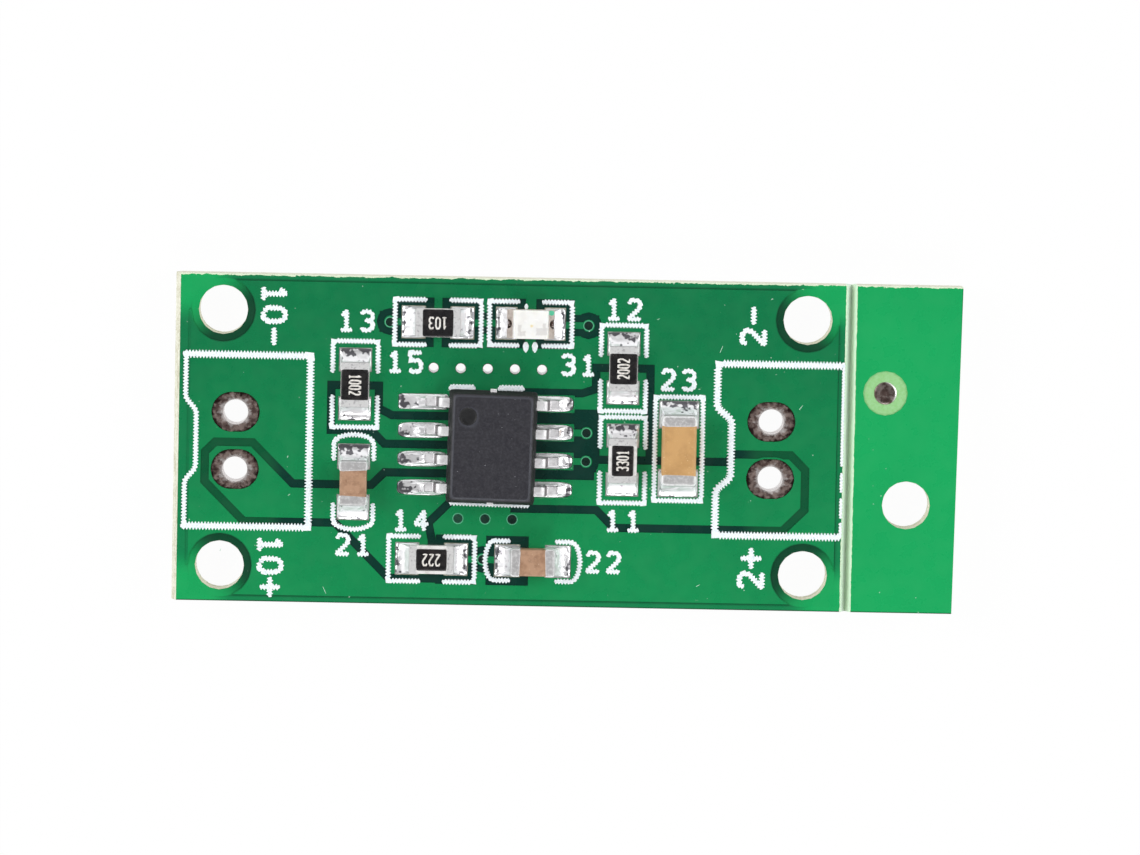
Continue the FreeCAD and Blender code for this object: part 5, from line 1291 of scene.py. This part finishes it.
@dataclass
class Legend:
    """White print of the component side: frames, terminal outlines, plain numbers and polarity signs.

    A frame is its length, its width and the gap in its long sides; a place is x, y and the turn in degrees.
    """

    line: float = 0.27
    bold: float = 0.39
    bead: float = 0.28
    bead_pitch: float = 0.142
    foot: float = SEAT - 0.004
    height: float = 0.023
    usual_frame: tuple[float, float, float] = (4.08, 2.27, 0.96)
    other_frames: dict[str, tuple[float, float, float]] = field(default_factory=lambda: {
        "capacitor_1": (4.48, 2.03, 1.86), "capacitor_2": (4.48, 2.03, 1.96), "led": (3.92, 2.21, 0.96)})
    bowed: tuple[str, ...] = ("capacitor_1", "capacitor_2")
    ringed: str = "capacitor_3"
    ring: Path = field(default_factory=lambda: [(-2.3, -1.05), (2.3, -1.05), (2.3, 1.05), (-2.3, 1.05)])
    drops: tuple[tuple[float, ...], ...] = (
        (-0.2, -1.03, 0.13, 0.24, 1.8), (0.2, -1.03, 0.13, 0.24, 1.8), (-0.21, 0.74, 0.09, 0.16, 1.3))
    outline_half: float = 3.81
    outline_corner: float = 3.96
    notch: tuple[float, float, float, float] = (-1.8, -1.25, 1.32, 1.86)
    places: dict[str, tuple[float, float, float]] = field(default_factory=lambda: {
        "resistor_1": (4.84, -0.68, 90.0), "resistor_2": (4.8, 3.395, 90.0),
        "resistor_3": (-7.06, 2.47, 90.0), "resistor_4": (-3.54, -5.235, 0.0),
        "resistor_5": (-3.44, 5.27, 0.0), "led": (LED_X, LED_Y, 0.0),
        "capacitor_1": (-7.06, -1.87, 90.0), "capacitor_2": (0.94, -5.25, 0.0),
        "capacitor_3": (7.31, -0.14, 90.0)})

    def build(self, frame: dict) -> None:
        """Print everything as one piece."""
        lines = self.frames() + self.terminal_outlines() + self.chip_lines() + self.labels()
        add_piece("legend_print", merged(lines), INK, ("legend_ink",), sharp=60.0)

    def line_of(self, points: Path | np.ndarray, width: float, closed: bool = False,
                sheet: int = 0) -> Surface:
        """One printed line with scalloped edges.

        Args:
            points: corners of the line on the layout.
            width: width of the line.
            closed: whether it is a loop.
            sheet: lines that cross have different numbers here, so that no two tops lie in one plane.

        Returns:
            Its surface.
        """
        return ribbon(np.array(points) + (LAYOUT_X, 0), width, self.foot, self.height - 0.0008 * sheet,
                      closed, bead=self.bead * width, pitch=self.bead_pitch)

    def around(self, name: str, points: Path) -> np.ndarray:
        """Points about a part, turned with it and moved to its place."""
        x, y, turn = self.places[name]
        return spun(points, math.radians(turn), x, y)

    def frames(self) -> list[Surface]:
        """Brackets round the resistors and the indicator, bowed ones round two capacitors, and a ring."""
        lines = []
        for name in self.places:
            if name == self.ringed:
                lines.append(self.line_of(self.around(name, self.ring), self.line, closed=True))
                continue
            length, width, gap = self.other_frames.get(name, self.usual_frame)
            reach, half = (length - self.line) / 2, (width - self.line) / 2
            for end in (-1, 1):
                turning = [(end * reach, -half), (end * reach, half)]
                if name in self.bowed:
                    turning = [(end * (reach - half * 0.45 * (1 - math.cos(angle))), half * math.sin(angle))
                               for angle in (np.linspace(-0.5, 0.5, 9) * np.pi).tolist()]
                start = end * gap / 2
                bracket = [(start, -half)] + turning + [(start, half)]
                lines.append(self.line_of(self.around(name, bracket), self.line))
        for across, up, half_x, half_y, power in self.drops:
            x, y = self.around("led", [(across, up)])[0]
            drop = Outline(x + LAYOUT_X, y, half_x, half_y, power)
            lines.append(domed_sheet(drop, self.height, self.foot, count=36, wobble=0.05))
        return lines

    def terminal_outlines(self) -> list[Surface]:
        """The bold three-sided outlines beside the wire holes, each with a notched line.

        The left one is closed by a thin line, and the right one by a broken line that the score has cut.
        """
        half, corner = self.outline_half, self.outline_corner
        low, inner_low, inner_high, high = self.notch
        left = [(-14.69, half), (-9.04, half), (-9.04, -half), (-14.69, -half)]
        closing = [(-14.54, -corner), (-14.54, low), (-14.06, inner_low), (-14.06, inner_high),
                   (-14.54, high), (-14.54, corner)]
        right = [(14.6, half), (8.99, half), (8.99, high), (9.64, inner_high), (9.64, inner_low),
                 (8.99, low), (8.99, -half), (14.6, -half)]
        lines = []
        for sheet, (run, width) in enumerate(((left, self.bold), (closing, self.line), (right, self.bold))):
            path = rounded_path([(x, y + TERMINAL_Y) for x, y in run], 0.2)
            lines.append(self.line_of(path, width, sheet=sheet))
        for start, end in ((-0.79, corner + TERMINAL_Y), (-1.95, -1.07), (-3.1, -2.2), (-3.95, -3.28)):
            lines.append(self.line_of([(14.56, start), (14.56, end)], 0.17, sheet=1))
        return lines

    def chip_lines(self) -> list[Surface]:
        """Short bars above the package and a line below it."""
        lines = [self.line_of([(-2.8, -2.72), (0.75, -2.78)], self.line)]
        for middle in (-2.32, -0.15):
            lines.append(self.line_of([(middle - 0.6, 2.37), (middle + 0.6, 2.37)], 0.24, sheet=1))
            lines.append(self.line_of([(middle - 0.54, 2.46), (middle + 0.54, 2.46)], 0.22, sheet=2))
        return lines

    def words(self, text: str, x: float, y: float, height: float, stroke: float,
              reading: Reading = Reading.UPRIGHT, gap: float = 0.32) -> list[Surface]:
        """A plain number or sign, drawn in strokes about a middle.

        Args:
            text: characters of the stroke table.
            x: middle along the layout.
            y: middle across the layout.
            height: of a character with its stroke.
            stroke: width of the line.
            reading: which way it is turned.
            gap: space between characters as a share of the height.

        Returns:
            One surface per stroke.
        """
        cell = height - stroke
        width = LETTER_WIDTH * cell
        pitch = width + stroke + gap * cell * 0.5
        start = -(pitch * (len(text) - 1) + width) / 2
        lines = []
        for number, letter in enumerate(text):
            for sheet, run in enumerate(STROKES[letter]):
                flat = (np.array(run) - (0, 0.5)) * cell + (start + number * pitch, 0)
                lines.append(self.line_of(spun(flat, reading.value, x, y), stroke, sheet=sheet))
        return lines

    def labels(self) -> list[Surface]:
        """Two-digit numbers beside the parts, and numbers with polarity signs at the wire holes."""
        lines = []
        for text, x, y in (("13", -7.05, 5.28), ("15", -4.86, 3.5), ("14", -4.49, -3.53), ("12", 4.77, 6.0),
                           ("11", 4.9, -3.38), ("21", -7.05, -4.66), ("22", 4.06, -5.24), ("23", 7.23, 2.92),
                           ("31", 2.78, 3.5)):
            lines += self.words(text, x, y, 1.09, 0.26)
        for text, x, y, height, reading in (
                ("10-", -10.68, 5.48, 1.26, Reading.TOP_DOWN), ("10+", -10.68, -5.65, 1.26, Reading.TOP_DOWN),
                ("2-", 10.52, 5.34, 1.28, Reading.BOTTOM_UP), ("2+", 10.63, -5.45, 1.3, Reading.BOTTOM_UP)):
            lines += self.words(text, x, y, height, 0.3, reading, 0.1)
        return lines


# Parts on the board


@dataclass
class EndedPart:
    """What the two-ended chip parts share: sizes, place and the joints at both ends, in millimetres."""

    name: str
    x: float
    y: float
    turn: float
    length: float
    width: float
    height: float
    cap: float
    land_span: float
    land_length: float
    land_width: float
    climb: float

    def set_down(self, surface: Surface, lift: float = SEAT) -> Surface:
        """A surface about the part's own origin, turned with the part and moved to its seat."""
        return surface.turned(math.radians(self.turn), (self.x + LAYOUT_X, self.y), lift)

    def add(self, piece: str, surface: Surface, finish: Finish, node: str = "", lift: float = SEAT) -> None:
        """Add a piece about the part's own origin, in place of one of the part's nodes if that is named."""
        stands_for = (f"{self.name}_{node}",) if node else ()
        add_piece(f"{self.name}_{piece}", self.set_down(surface, lift), finish, stands_for)

    def joints(self) -> Surface:
        """Solder at both ends, rising against the end faces, and darker on the side away from the lamps."""
        tuck, spill = 0.03, 0.02
        middle = (self.land_span - self.land_length) / 2
        inner = Outline((self.length - self.cap) / 2 - tuck, 0, self.cap / 2, self.width / 2 - tuck, 14)
        outer = Outline(middle, 0, self.land_length / 2 + spill, self.land_width / 2 + spill, 11)
        ends = []
        for number, end in enumerate((0.0, math.pi)):
            phase = self.x * 1.7 + self.y * 0.9 + number * 2.1
            ring = fillet_ring(inner, outer, (self.climb, self.climb * 0.45, 0.02), 0.0, phase=phase)
            ring.tone = ring.tone + 0.55 * math.sin(math.radians(self.turn) + end) - 0.35
            ends.append(ring.turned(end, (0.0, 0.0)))
        return merged(ends)

    def end_blocks(self, radius: float, count: int) -> Iterator[tuple[int, Surface, np.ndarray]]:
        """The metal ends as rounded blocks.

        Args:
            radius: of their edges.
            count: points round a block.

        Yields:
            The side, the block, and how far outwards each of its points lies, from -1 to 1.
        """
        half = (self.cap / 2, self.width / 2, self.height / 2)
        for end in (-1, 1):
            middle = end * (self.length - self.cap) / 2
            block = rounded_block(half, radius, (middle, 0, self.height / 2), count)
            yield end, block, end * (block.points[:, 0] - middle) / half[0]

    def build(self, frame: dict) -> None:
        """Add the solder; a kind of part adds its own pieces."""
        self.add("joints", self.joints(), SOLDER, "solder", LAND_TOP)


@dataclass
class Resistor(EndedPart):
    """A thick-film resistor: pale ceramic, wrapped tin ends and a dark glaze with a printed number."""

    length: float = 2.0
    width: float = 1.25
    height: float = 0.5
    cap: float = 0.36
    land_span: float = 3.13
    land_length: float = 0.97
    land_width: float = 1.36
    climb: float = 0.36
    code: str = "103"
    reading: Reading = Reading.UPRIGHT
    coat_width: float = 1.22
    coat_height: float = 0.05
    coat_sunk: float = 0.035
    coat_overlap: float = 0.07
    cap_round: float = 0.05

    def build(self, frame: dict) -> None:
        """Solder, ceramic, wrapped ends, glaze and number."""
        super().build(frame)
        dress(frame, ALUMINA, f"{self.name}_substrate")
        soften(frame, f"{self.name}_substrate", 0.012)
        ends = []
        for _, block, outwards in self.end_blocks(self.cap_round, 40):
            # painted shade: a contact-shadow line along the outer edge of each end
            block.tone = np.where(outwards > 0.85, -1.6, 0.0)
            ends.append(block)
        self.add("ends", merged(ends), CAP_TIN, "end_caps")
        outline = Outline(0, 0, self.length / 2 - self.cap + self.coat_overlap, self.coat_width / 2, 12)
        foot = self.height - self.coat_sunk
        coat = domed_sheet(outline, self.coat_height, foot, crown=14.0, wobble=0.008, phase=self.x)
        self.add("glaze", coat, COAT, "overcoat")
        self.number(foot + self.coat_height)

    def number(self, top: float) -> None:
        """The value in thin strokes on the glaze.

        Args:
            top: height of the glaze above the seat.
        """
        high, line = 0.56, 0.075
        pitch, squeeze = (0.285, 0.52) if len(self.code) == 3 else (0.24, 0.42)
        marks = []
        for place, digit in enumerate(self.code):
            shift = (place - (len(self.code) - 1) / 2) * pitch
            for run in STROKES[digit]:
                flat = (np.array(run) - (LETTER_WIDTH / 2, 0.5)) * (squeeze * high, high - line) + (shift, 0)
                turned = spun(flat, self.reading.value, self.x + LAYOUT_X, self.y)
                thickness = 0.009 - 0.0006 * (len(marks) % 5)
                marks.append(ribbon(turned, line, SEAT + top - 0.0035, thickness))
        add_piece(f"{self.name}_number", merged(marks), CODE_INK, sharp=60.0)


@dataclass
class Capacitor(EndedPart):
    """A layered ceramic capacitor: a tumbled fired body between two thick tin ends."""

    length: float = 2.0
    width: float = 1.25
    height: float = 1.0
    cap: float = 0.5
    land_span: float = 3.3
    land_length: float = 1.05
    land_width: float = 1.36
    climb: float = 0.55
    wall: float = 0.03
    body_round: float = 0.1
    cap_round: float = 0.15
    waver: float = 0.05
    ceramic: Ceramic = Ceramic.BROWN

    def build(self, frame: dict) -> None:
        """Solder, fired body and rounded ends, whose inner edges waver a little along the body."""
        super().build(frame)
        half = (self.length / 2 - self.wall, self.width / 2 - self.wall, self.height / 2 - self.wall)
        body = rounded_block(half, self.body_round, (0, 0, self.height / 2), 56)
        self.add("body", body, BROWN if self.ceramic is Ceramic.BROWN else TAN, "ceramic")
        ends = []
        for end, block, outwards in self.end_blocks(self.cap_round, 56):
            inside = np.clip((1 - outwards) / 2, 0, 1)
            edge = self.waver * np.sin(3.1 * block.points[:, 1] + 4 * self.x) * inside ** 6
            # painted light: the flat top darker, the sides a painted highlight, and a painted contact-shadow
            # line at the outer end
            block.tone = np.where(block.points[:, 2] > self.height - 0.03, -0.72, 0.7)
            block.tone[outwards > 0.88] = -1.6
            block.points[:, 0] += edge * end
            ends.append(block)
        self.add("ends", merged(ends), CAP_TIN, "end_caps")


@dataclass
class Indicator(EndedPart):
    """The indicator: resin base with plated half-round ends, a milky lens and a polarity mark."""

    length: float = 2.1
    width: float = 1.28
    height: float = 0.8
    cap: float = 0.3
    land_span: float = 3.0
    land_length: float = 0.85
    land_width: float = 1.36
    climb: float = 0.24
    lens_half: tuple[float, float, float] = (0.81, 0.636, 0.24)
    lens_middle: float = 0.56
    lens_foot: float = 0.34
    lens_draft: float = 0.16
    mark: Outline = Outline(0.91, 0.51, 0.12, 0.11, 2.6)
    mark_foot: float = 0.336

    def build(self, frame: dict) -> None:
        """Solder, lens, mark and half-round wells, and finishes for the frame's own solids."""
        super().build(frame)
        dress(frame, LED_BASE, "led_base")
        dress(frame, LED_CAP, "led_end_caps")
        dress(frame, LED_DIE, "led_die")
        soften(frame, "led_base", 0.015)
        resin = rounded_block(self.lens_half, 0.06, (0.0, 0.0, self.lens_middle), 56)
        resin.points[:, 0] *= 1 - self.lens_draft * np.clip(resin.points[:, 2] - self.lens_foot, 0, 1)
        self.add("resin", resin, LENS, "lens")
        dab = domed_sheet(self.mark, 0.02, self.mark_foot, 36, wobble=0.03)
        self.add("mark", dab, LED_MARK, "polarity_mark")
        # the wells are dark as painted shade in the hollow solder
        wells = [domed_sheet(Outline(end * (self.length / 2 - 0.02), 0, 0.2, 0.21, 2.4), 0.2, 0.0, 36,
                             crown=2.0) for end in (-1, 1)]
        self.add("wells", merged(wells), SHADED_LED_WELL, lift=LAND_TOP)


@dataclass
class Package:
    """The eight-lead package: drafted moulding with its dimple, bent leads and their solder."""

    x: float = -0.967
    y: float = -0.155
    turn: float = -1.0
    width: float = 3.9
    length: float = 5.0
    body_height: float = 1.42
    standoff: float = 0.13
    draft: float = 12.0
    dimple: tuple[float, float, float, float] = (-1.1, 1.37, 0.41, 0.07)
    pitch: float = 1.27
    span: float = 6.0
    lead_width: float = 0.42
    lead_thickness: float = 0.2
    shoulder: float = 0.42
    bend: float = 0.17
    embed: float = 0.3
    steepness: float = 84.0
    foot_lift: float = 0.04
    tie_half: tuple[float, float, float] = (0.14, 0.2, 0.17)
    tie_place: tuple[float, float] = (2.38, 0.08)
    land_x: float = -1.25
    land_y: float = -0.148
    land_span: float = 7.74
    land_length: float = 2.2
    land_width: float = 0.68

    def build(self, frame: dict) -> None:
        """Moulding, leads and solder."""
        add_piece("chip_moulding", self.set_down(self.moulding()), MOULDING, ("chip_body",), sharp=50.0)
        reach, rise = self.tie_place
        height = self.standoff + self.body_height / 2 + rise
        ties = [rounded_block(self.tie_half, 0.03, (0.0, end * reach, height)) for end in (-1, 1)]
        add_piece("tie_bar_ends", self.set_down(merged(ties)), LEAD_METAL, ("chip_tie_bar",))
        for number in range(1, 9):
            middle, angle = (2.5, 180.0) if number <= 4 else (6.5, 0.0)
            lead = self.lead()
            lead.points[:, 1] += (number - middle) * self.pitch
            add_piece(f"bent_lead_{number}", self.set_down(lead, angle), LEAD_METAL,
                      (f"chip_lead_{number}",), sharp=50.0)
        add_piece("chip_joints", self.joints(), SOLDER, ("chip_solder",))
        add_piece("chip_land_lips", self.land_lips(), MASK)

    def set_down(self, surface: Surface, angle: float = 0.0) -> Surface:
        """A surface about the package's middle, turned with it and moved onto the lands."""
        return surface.turned(math.radians(self.turn + angle), (self.x + LAYOUT_X, self.y), LAND_TOP)

    def moulding(self) -> Surface:
        """The body as rings from its underside up to its top and in to the dimple's floor.

        A ring of the sides is a rounded rectangle, drawn in with the height by the draft and rolled over
        at both edges. A ring of the top is a mix of that rectangle and the dimple's circle, and the last
        rings follow the dimple's shallow bowl. The tone is high on the edges, the parting line and the
        dimple's rim, where the finish paints highlights, and low on the sides and in the dimple, where it
        paints shade.

        Returns:
            The closed body about the package's middle.
        """
        angle = turns(120)
        slope = math.tan(math.radians(self.draft))
        half = self.body_height / 2
        rise = np.array([-half, -half, -half + 0.06, -0.035, -0.012, 0.012, 0.035, half - 0.1, half - 0.07,
                         half - 0.02, half - 0.004, half, half])
        inset = np.array([0.3, 0.1, 0, 0, -0.014, -0.014, 0, 0, 0.012, 0.075, 0.11, 0.15, 0.2])
        rings = [np.column_stack([
            Outline(0, 0, self.width / 2 - drawn, self.length / 2 - drawn, 30).rim(angle),
            np.full(len(angle), self.standoff + half + level)])
            for drawn, level in zip(np.abs(rise) * slope + inset, rise)]
        dimple_x, dimple_y, radius, depth = self.dimple
        circle = np.column_stack([dimple_x + radius * np.cos(angle), dimple_y + radius * np.sin(angle),
                                  np.full(len(angle), self.standoff + self.body_height)])
        rings += [rings[-1] * (1 - share) + circle * share for share in (0.35, 0.7, 0.93, 0.97)]
        for share in (1.0, 0.97, 0.9, 0.75, 0.5, 0.2):
            bowl = circle.copy()
            bowl[:, :2] = (dimple_x, dimple_y) + (circle[:, :2] - (dimple_x, dimple_y)) * share
            bowl[:, 2] -= depth * (1 - share ** 8) ** 0.6
            rings.append(bowl)
        tone = np.array([-1, -1, -1, -1, 0.5, 0.5, -1, -1, -0.8, 0.9, 0.9, 0.2, 0, 0, 0, 0, 0.5, 0.9, -0.2,
                         -1, -1, -0.9, -0.8])
        return skinned(np.array(rings), tone=np.repeat(tone[:, None], len(angle), axis=1))

    def lead(self) -> Surface:
        """One gull-wing lead, its path a slope summed along its length.

        The slope is level, turns down by a set angle over the first bend, stays there as long as the
        drop needs, and turns back over the second bend; the path is the sum of its cosine and sine.

        Returns:
            The lead on the right-hand side of the package, at the middle row.
        """
        start = self.width / 2 - self.embed
        drop = self.body_height / 2 + self.standoff - self.lead_thickness / 2 - self.foot_lift
        knee = self.embed + self.shoulder - self.bend
        steep = math.radians(self.steepness)
        straight = (drop - 2 * self.bend * (1 - math.cos(steep))) / math.sin(steep)
        arc = self.bend * steep
        reach = knee + 2 * self.bend * math.sin(steep) + straight * math.cos(steep)
        foot = self.span / 2 - start - reach
        marks = np.cumsum([0, knee, arc, straight, arc, foot])
        runs = [np.linspace(low, high, count, endpoint=False)
                for low, high, count in zip(marks, marks[1:], (4, 10, 4, 10, 5))]
        way = np.concatenate(runs + [marks[-1:]])
        slope = np.interp(way, marks, [0, 0, steep, steep, 0, 0])
        middle = (slope[1:] + slope[:-1]) / 2
        step = np.diff(way)
        x = start + np.concatenate([[0], np.cumsum(np.cos(middle) * step)])
        z = self.standoff + self.body_height / 2 - np.concatenate([[0], np.cumsum(np.sin(middle) * step)])
        return swept_bar(np.stack([x, z], axis=-1), self.lead_width, self.lead_thickness, 0.035)

    def lands(self) -> Iterator[tuple[int, int, int]]:
        """The eight lands as side, row and the power of the outline's corners, one land being square."""
        for side in (-1, 1):
            for row in range(4):
                yield side, row, 12 if side < 0 and row == 3 else 4

    def on_land(self, surface: Surface, side: int, row: int) -> Surface:
        """A surface about the middle row's right-hand land, turned to its side and moved to its row."""
        turned = surface.turned(0 if side > 0 else math.pi, (0, (row - 1.5) * self.pitch))
        return turned.turned(0, (self.land_x + LAYOUT_X, self.land_y))

    def joints(self) -> Surface:
        """Solder on the eight lands, drawn up round the feet and heels."""
        mounds = []
        tuck, spill = 0.04, 0.01
        middle = (self.land_span - self.land_length) / 2
        heel, tip = self.width / 2 + self.shoulder - 0.05, self.span / 2 - 0.03
        for side, row, power in self.lands():
            foot = (heel + tip) / 2 + side * (self.x - self.land_x)
            inner = Outline(foot, 0, (tip - heel) / 2, self.lead_width / 2 - tuck, 10)
            outer = Outline(middle, 0, self.land_length / 2 + spill, self.land_width / 2 + spill, power)
            ring = fillet_ring(inner, outer, (0.2, 0.16, 0.32), LAND_TOP, film=0.09,
                               phase=1.3 * row + 2.2 * side)
            mounds.append(self.on_land(ring, side, row))
        return merged(mounds)

    def land_lips(self) -> Surface:
        """Rims of mask round the eight rounded lands."""
        lips = []
        around = turns(96)
        middle = (self.land_span - self.land_length) / 2
        for side, row, power in self.lands():
            rims = [Outline(middle, 0, self.land_length / 2 + grown, self.land_width / 2 + grown, corner)
                    for grown, corner in ((0.008, power), (0.05, 40))]
            lips.append(self.on_land(mask_lip(*(rim.rim(around) for rim in rims)), side, row))
        return merged(lips)


# Stage


@dataclass
class Studio:
    """Camera, soft lamps, a pale floor and a room that is dim overhead, as over a copy stand."""

    focal_pixels: float = 6926.0
    distance: float = 306.7
    tilt: tuple[float, float, float] = (4.087, 0.888, -1.080)
    shift: tuple[float, float] = (-2.5, -0.675)
    floor_drop: float = 0.05
    floor_size: float = 4000.0
    floor_white: float = 0.96
    horizon: float = 0.98
    overhead: float = 0.12

    def build(self) -> None:
        """Set everything up."""
        bpy.context.scene.view_settings.view_transform = "Standard"
        self.camera()
        self.room()
        self.floor()
        self.lamps()

    def camera(self) -> None:
        """A long lens almost straight above, at the photograph's angle."""
        turn = Matrix.Identity(3)
        for axis, angle in zip("XYZ", self.tilt):
            turn = Matrix.Rotation(math.radians(angle), 3, axis) @ turn
        turn.transpose()
        data = bpy.data.cameras.new("camera")
        data.sensor_width = 36.0
        data.lens = self.focal_pixels * data.sensor_width / PHOTO_WIDTH
        data.clip_start, data.clip_end = 0.01, 20.0
        camera = bpy.data.objects.new("camera", data)
        bpy.context.scene.collection.objects.link(camera)
        offset = np.array(turn) @ np.array([-self.shift[0], -self.shift[1], self.distance])
        place = (offset + np.array([LAYOUT_X, 0, SEAT])) * MM
        camera.matrix_world = Matrix.Translation(place.tolist()) @ turn.to_4x4()
        bpy.context.scene.camera = camera

    def room(self) -> None:
        """World light: white for the camera, and otherwise brighter near the horizon than overhead."""
        bpy.context.scene.world = bpy.data.worlds.new("room")
        desk = ShaderDesk(bpy.context.scene.world, "ShaderNodeOutputWorld")
        height = desk.axes("Generated", 1.0)[2]
        plain = desk.add("ShaderNodeBackground", {"Color": (1.0, 1.0, 1.0)})
        graded = desk.add("ShaderNodeBackground", {
            "Color": (0.98, 0.99, 1.0), "Strength": height.step(0.35, 0.97, self.horizon, self.overhead)})
        desk.feed(desk.output, 0, desk.mixed(desk.camera_ray(), graded, plain))

    def floor(self) -> None:
        """A pale floor just under the board, there for the camera alone, white but for a faint shadow."""
        corners = np.array([[-1, -1], [1, -1], [1, 1], [-1, 1]]) * self.floor_size * MM
        mesh = bpy.data.meshes.new("floor")
        corners = np.column_stack([corners, np.full(4, -self.floor_drop * MM)])
        mesh.from_pydata(corners.tolist(), [], [(0, 1, 2, 3)])
        floor = bpy.data.objects.new("floor", mesh)
        bpy.context.scene.collection.objects.link(floor)
        desk = ShaderDesk(bpy.data.materials.new("pale_floor"))
        paint = desk.blend(desk.noise(40.0, 2.0), (0.9, 0.9, 0.9), (0.94, 0.94, 0.94))
        matt = desk.add("ShaderNodeBsdfDiffuse", {"Color": paint})
        lit = desk.mixed(self.floor_white, matt, desk.add("ShaderNodeEmission"))
        under = Wire(desk, desk.add("ShaderNodeNewGeometry").outputs["Backfacing"])
        hidden = under.larger(1.0 - desk.camera_ray())
        desk.feed(desk.output, 0, desk.mixed(hidden, lit, desk.add("ShaderNodeBsdfTransparent")))
        mesh.materials.append(desk.result)

    def lamps(self) -> None:
        """Two large soft boxes at the sides and a smaller one in front."""
        for name, place, size, power in (
                ("left_box", (-0.34, 0.10, 0.26), 0.26, 0.8), ("right_box", (0.34, 0.06, 0.26), 0.26, 0.66),
                ("front_box", (0.03, -0.34, 0.30), 0.20, 0.5)):
            data = bpy.data.lights.new(name, "AREA")
            data.shape = "RECTANGLE"
            data.size, data.size_y = size, size * 0.8
            data.energy = power
            lamp = bpy.data.objects.new(name, data)
            bpy.context.scene.collection.objects.link(lamp)
            lamp.location = place
            lamp.rotation_euler = Vector(place).to_track_quat("Z", "Y").to_euler()


def main() -> None:
    """Build the studio and every sub-assembly."""
    logging.basicConfig(level=logging.INFO, format="%(name)s: %(message)s")
    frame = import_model()
    Studio().build()
    Board().build(frame)
    Legend().build(frame)
    Package().build(frame)
    for part in (
            Resistor("resistor_1", 4.84, -0.68, 90.0, code="3301", reading=Reading.BOTTOM_UP,
                     coat_width=0.96),
            Resistor("resistor_2", 4.8, 3.395, 90.0, code="2002", reading=Reading.BOTTOM_UP),
            Resistor("resistor_3", -7.06, 2.47, -90.0, code="1002", reading=Reading.TOP_DOWN),
            Resistor("resistor_4", -3.54, -5.235, 180.0, code="222", reading=Reading.UPSIDE_DOWN,
                     coat_width=0.96),
            Resistor("resistor_5", -3.44, 5.27, 180.0, code="103", reading=Reading.UPSIDE_DOWN),
            Capacitor("capacitor_1", -7.06, -1.87, 90.0), Capacitor("capacitor_2", 0.94, -5.25, 0.0),
            Capacitor("capacitor_3", 7.31, -0.14, 90.0, length=3.15, width=1.58, height=1.3, cap=0.6,
                      land_span=4.19, land_length=1.15, land_width=1.7, climb=0.7, wall=0.035,
                      body_round=0.14, cap_round=0.21, ceramic=Ceramic.TAN),
            Indicator("led", LED_X, LED_Y, 0.0)):
        part.build(frame)


if __name__ == "__main__":
    main()
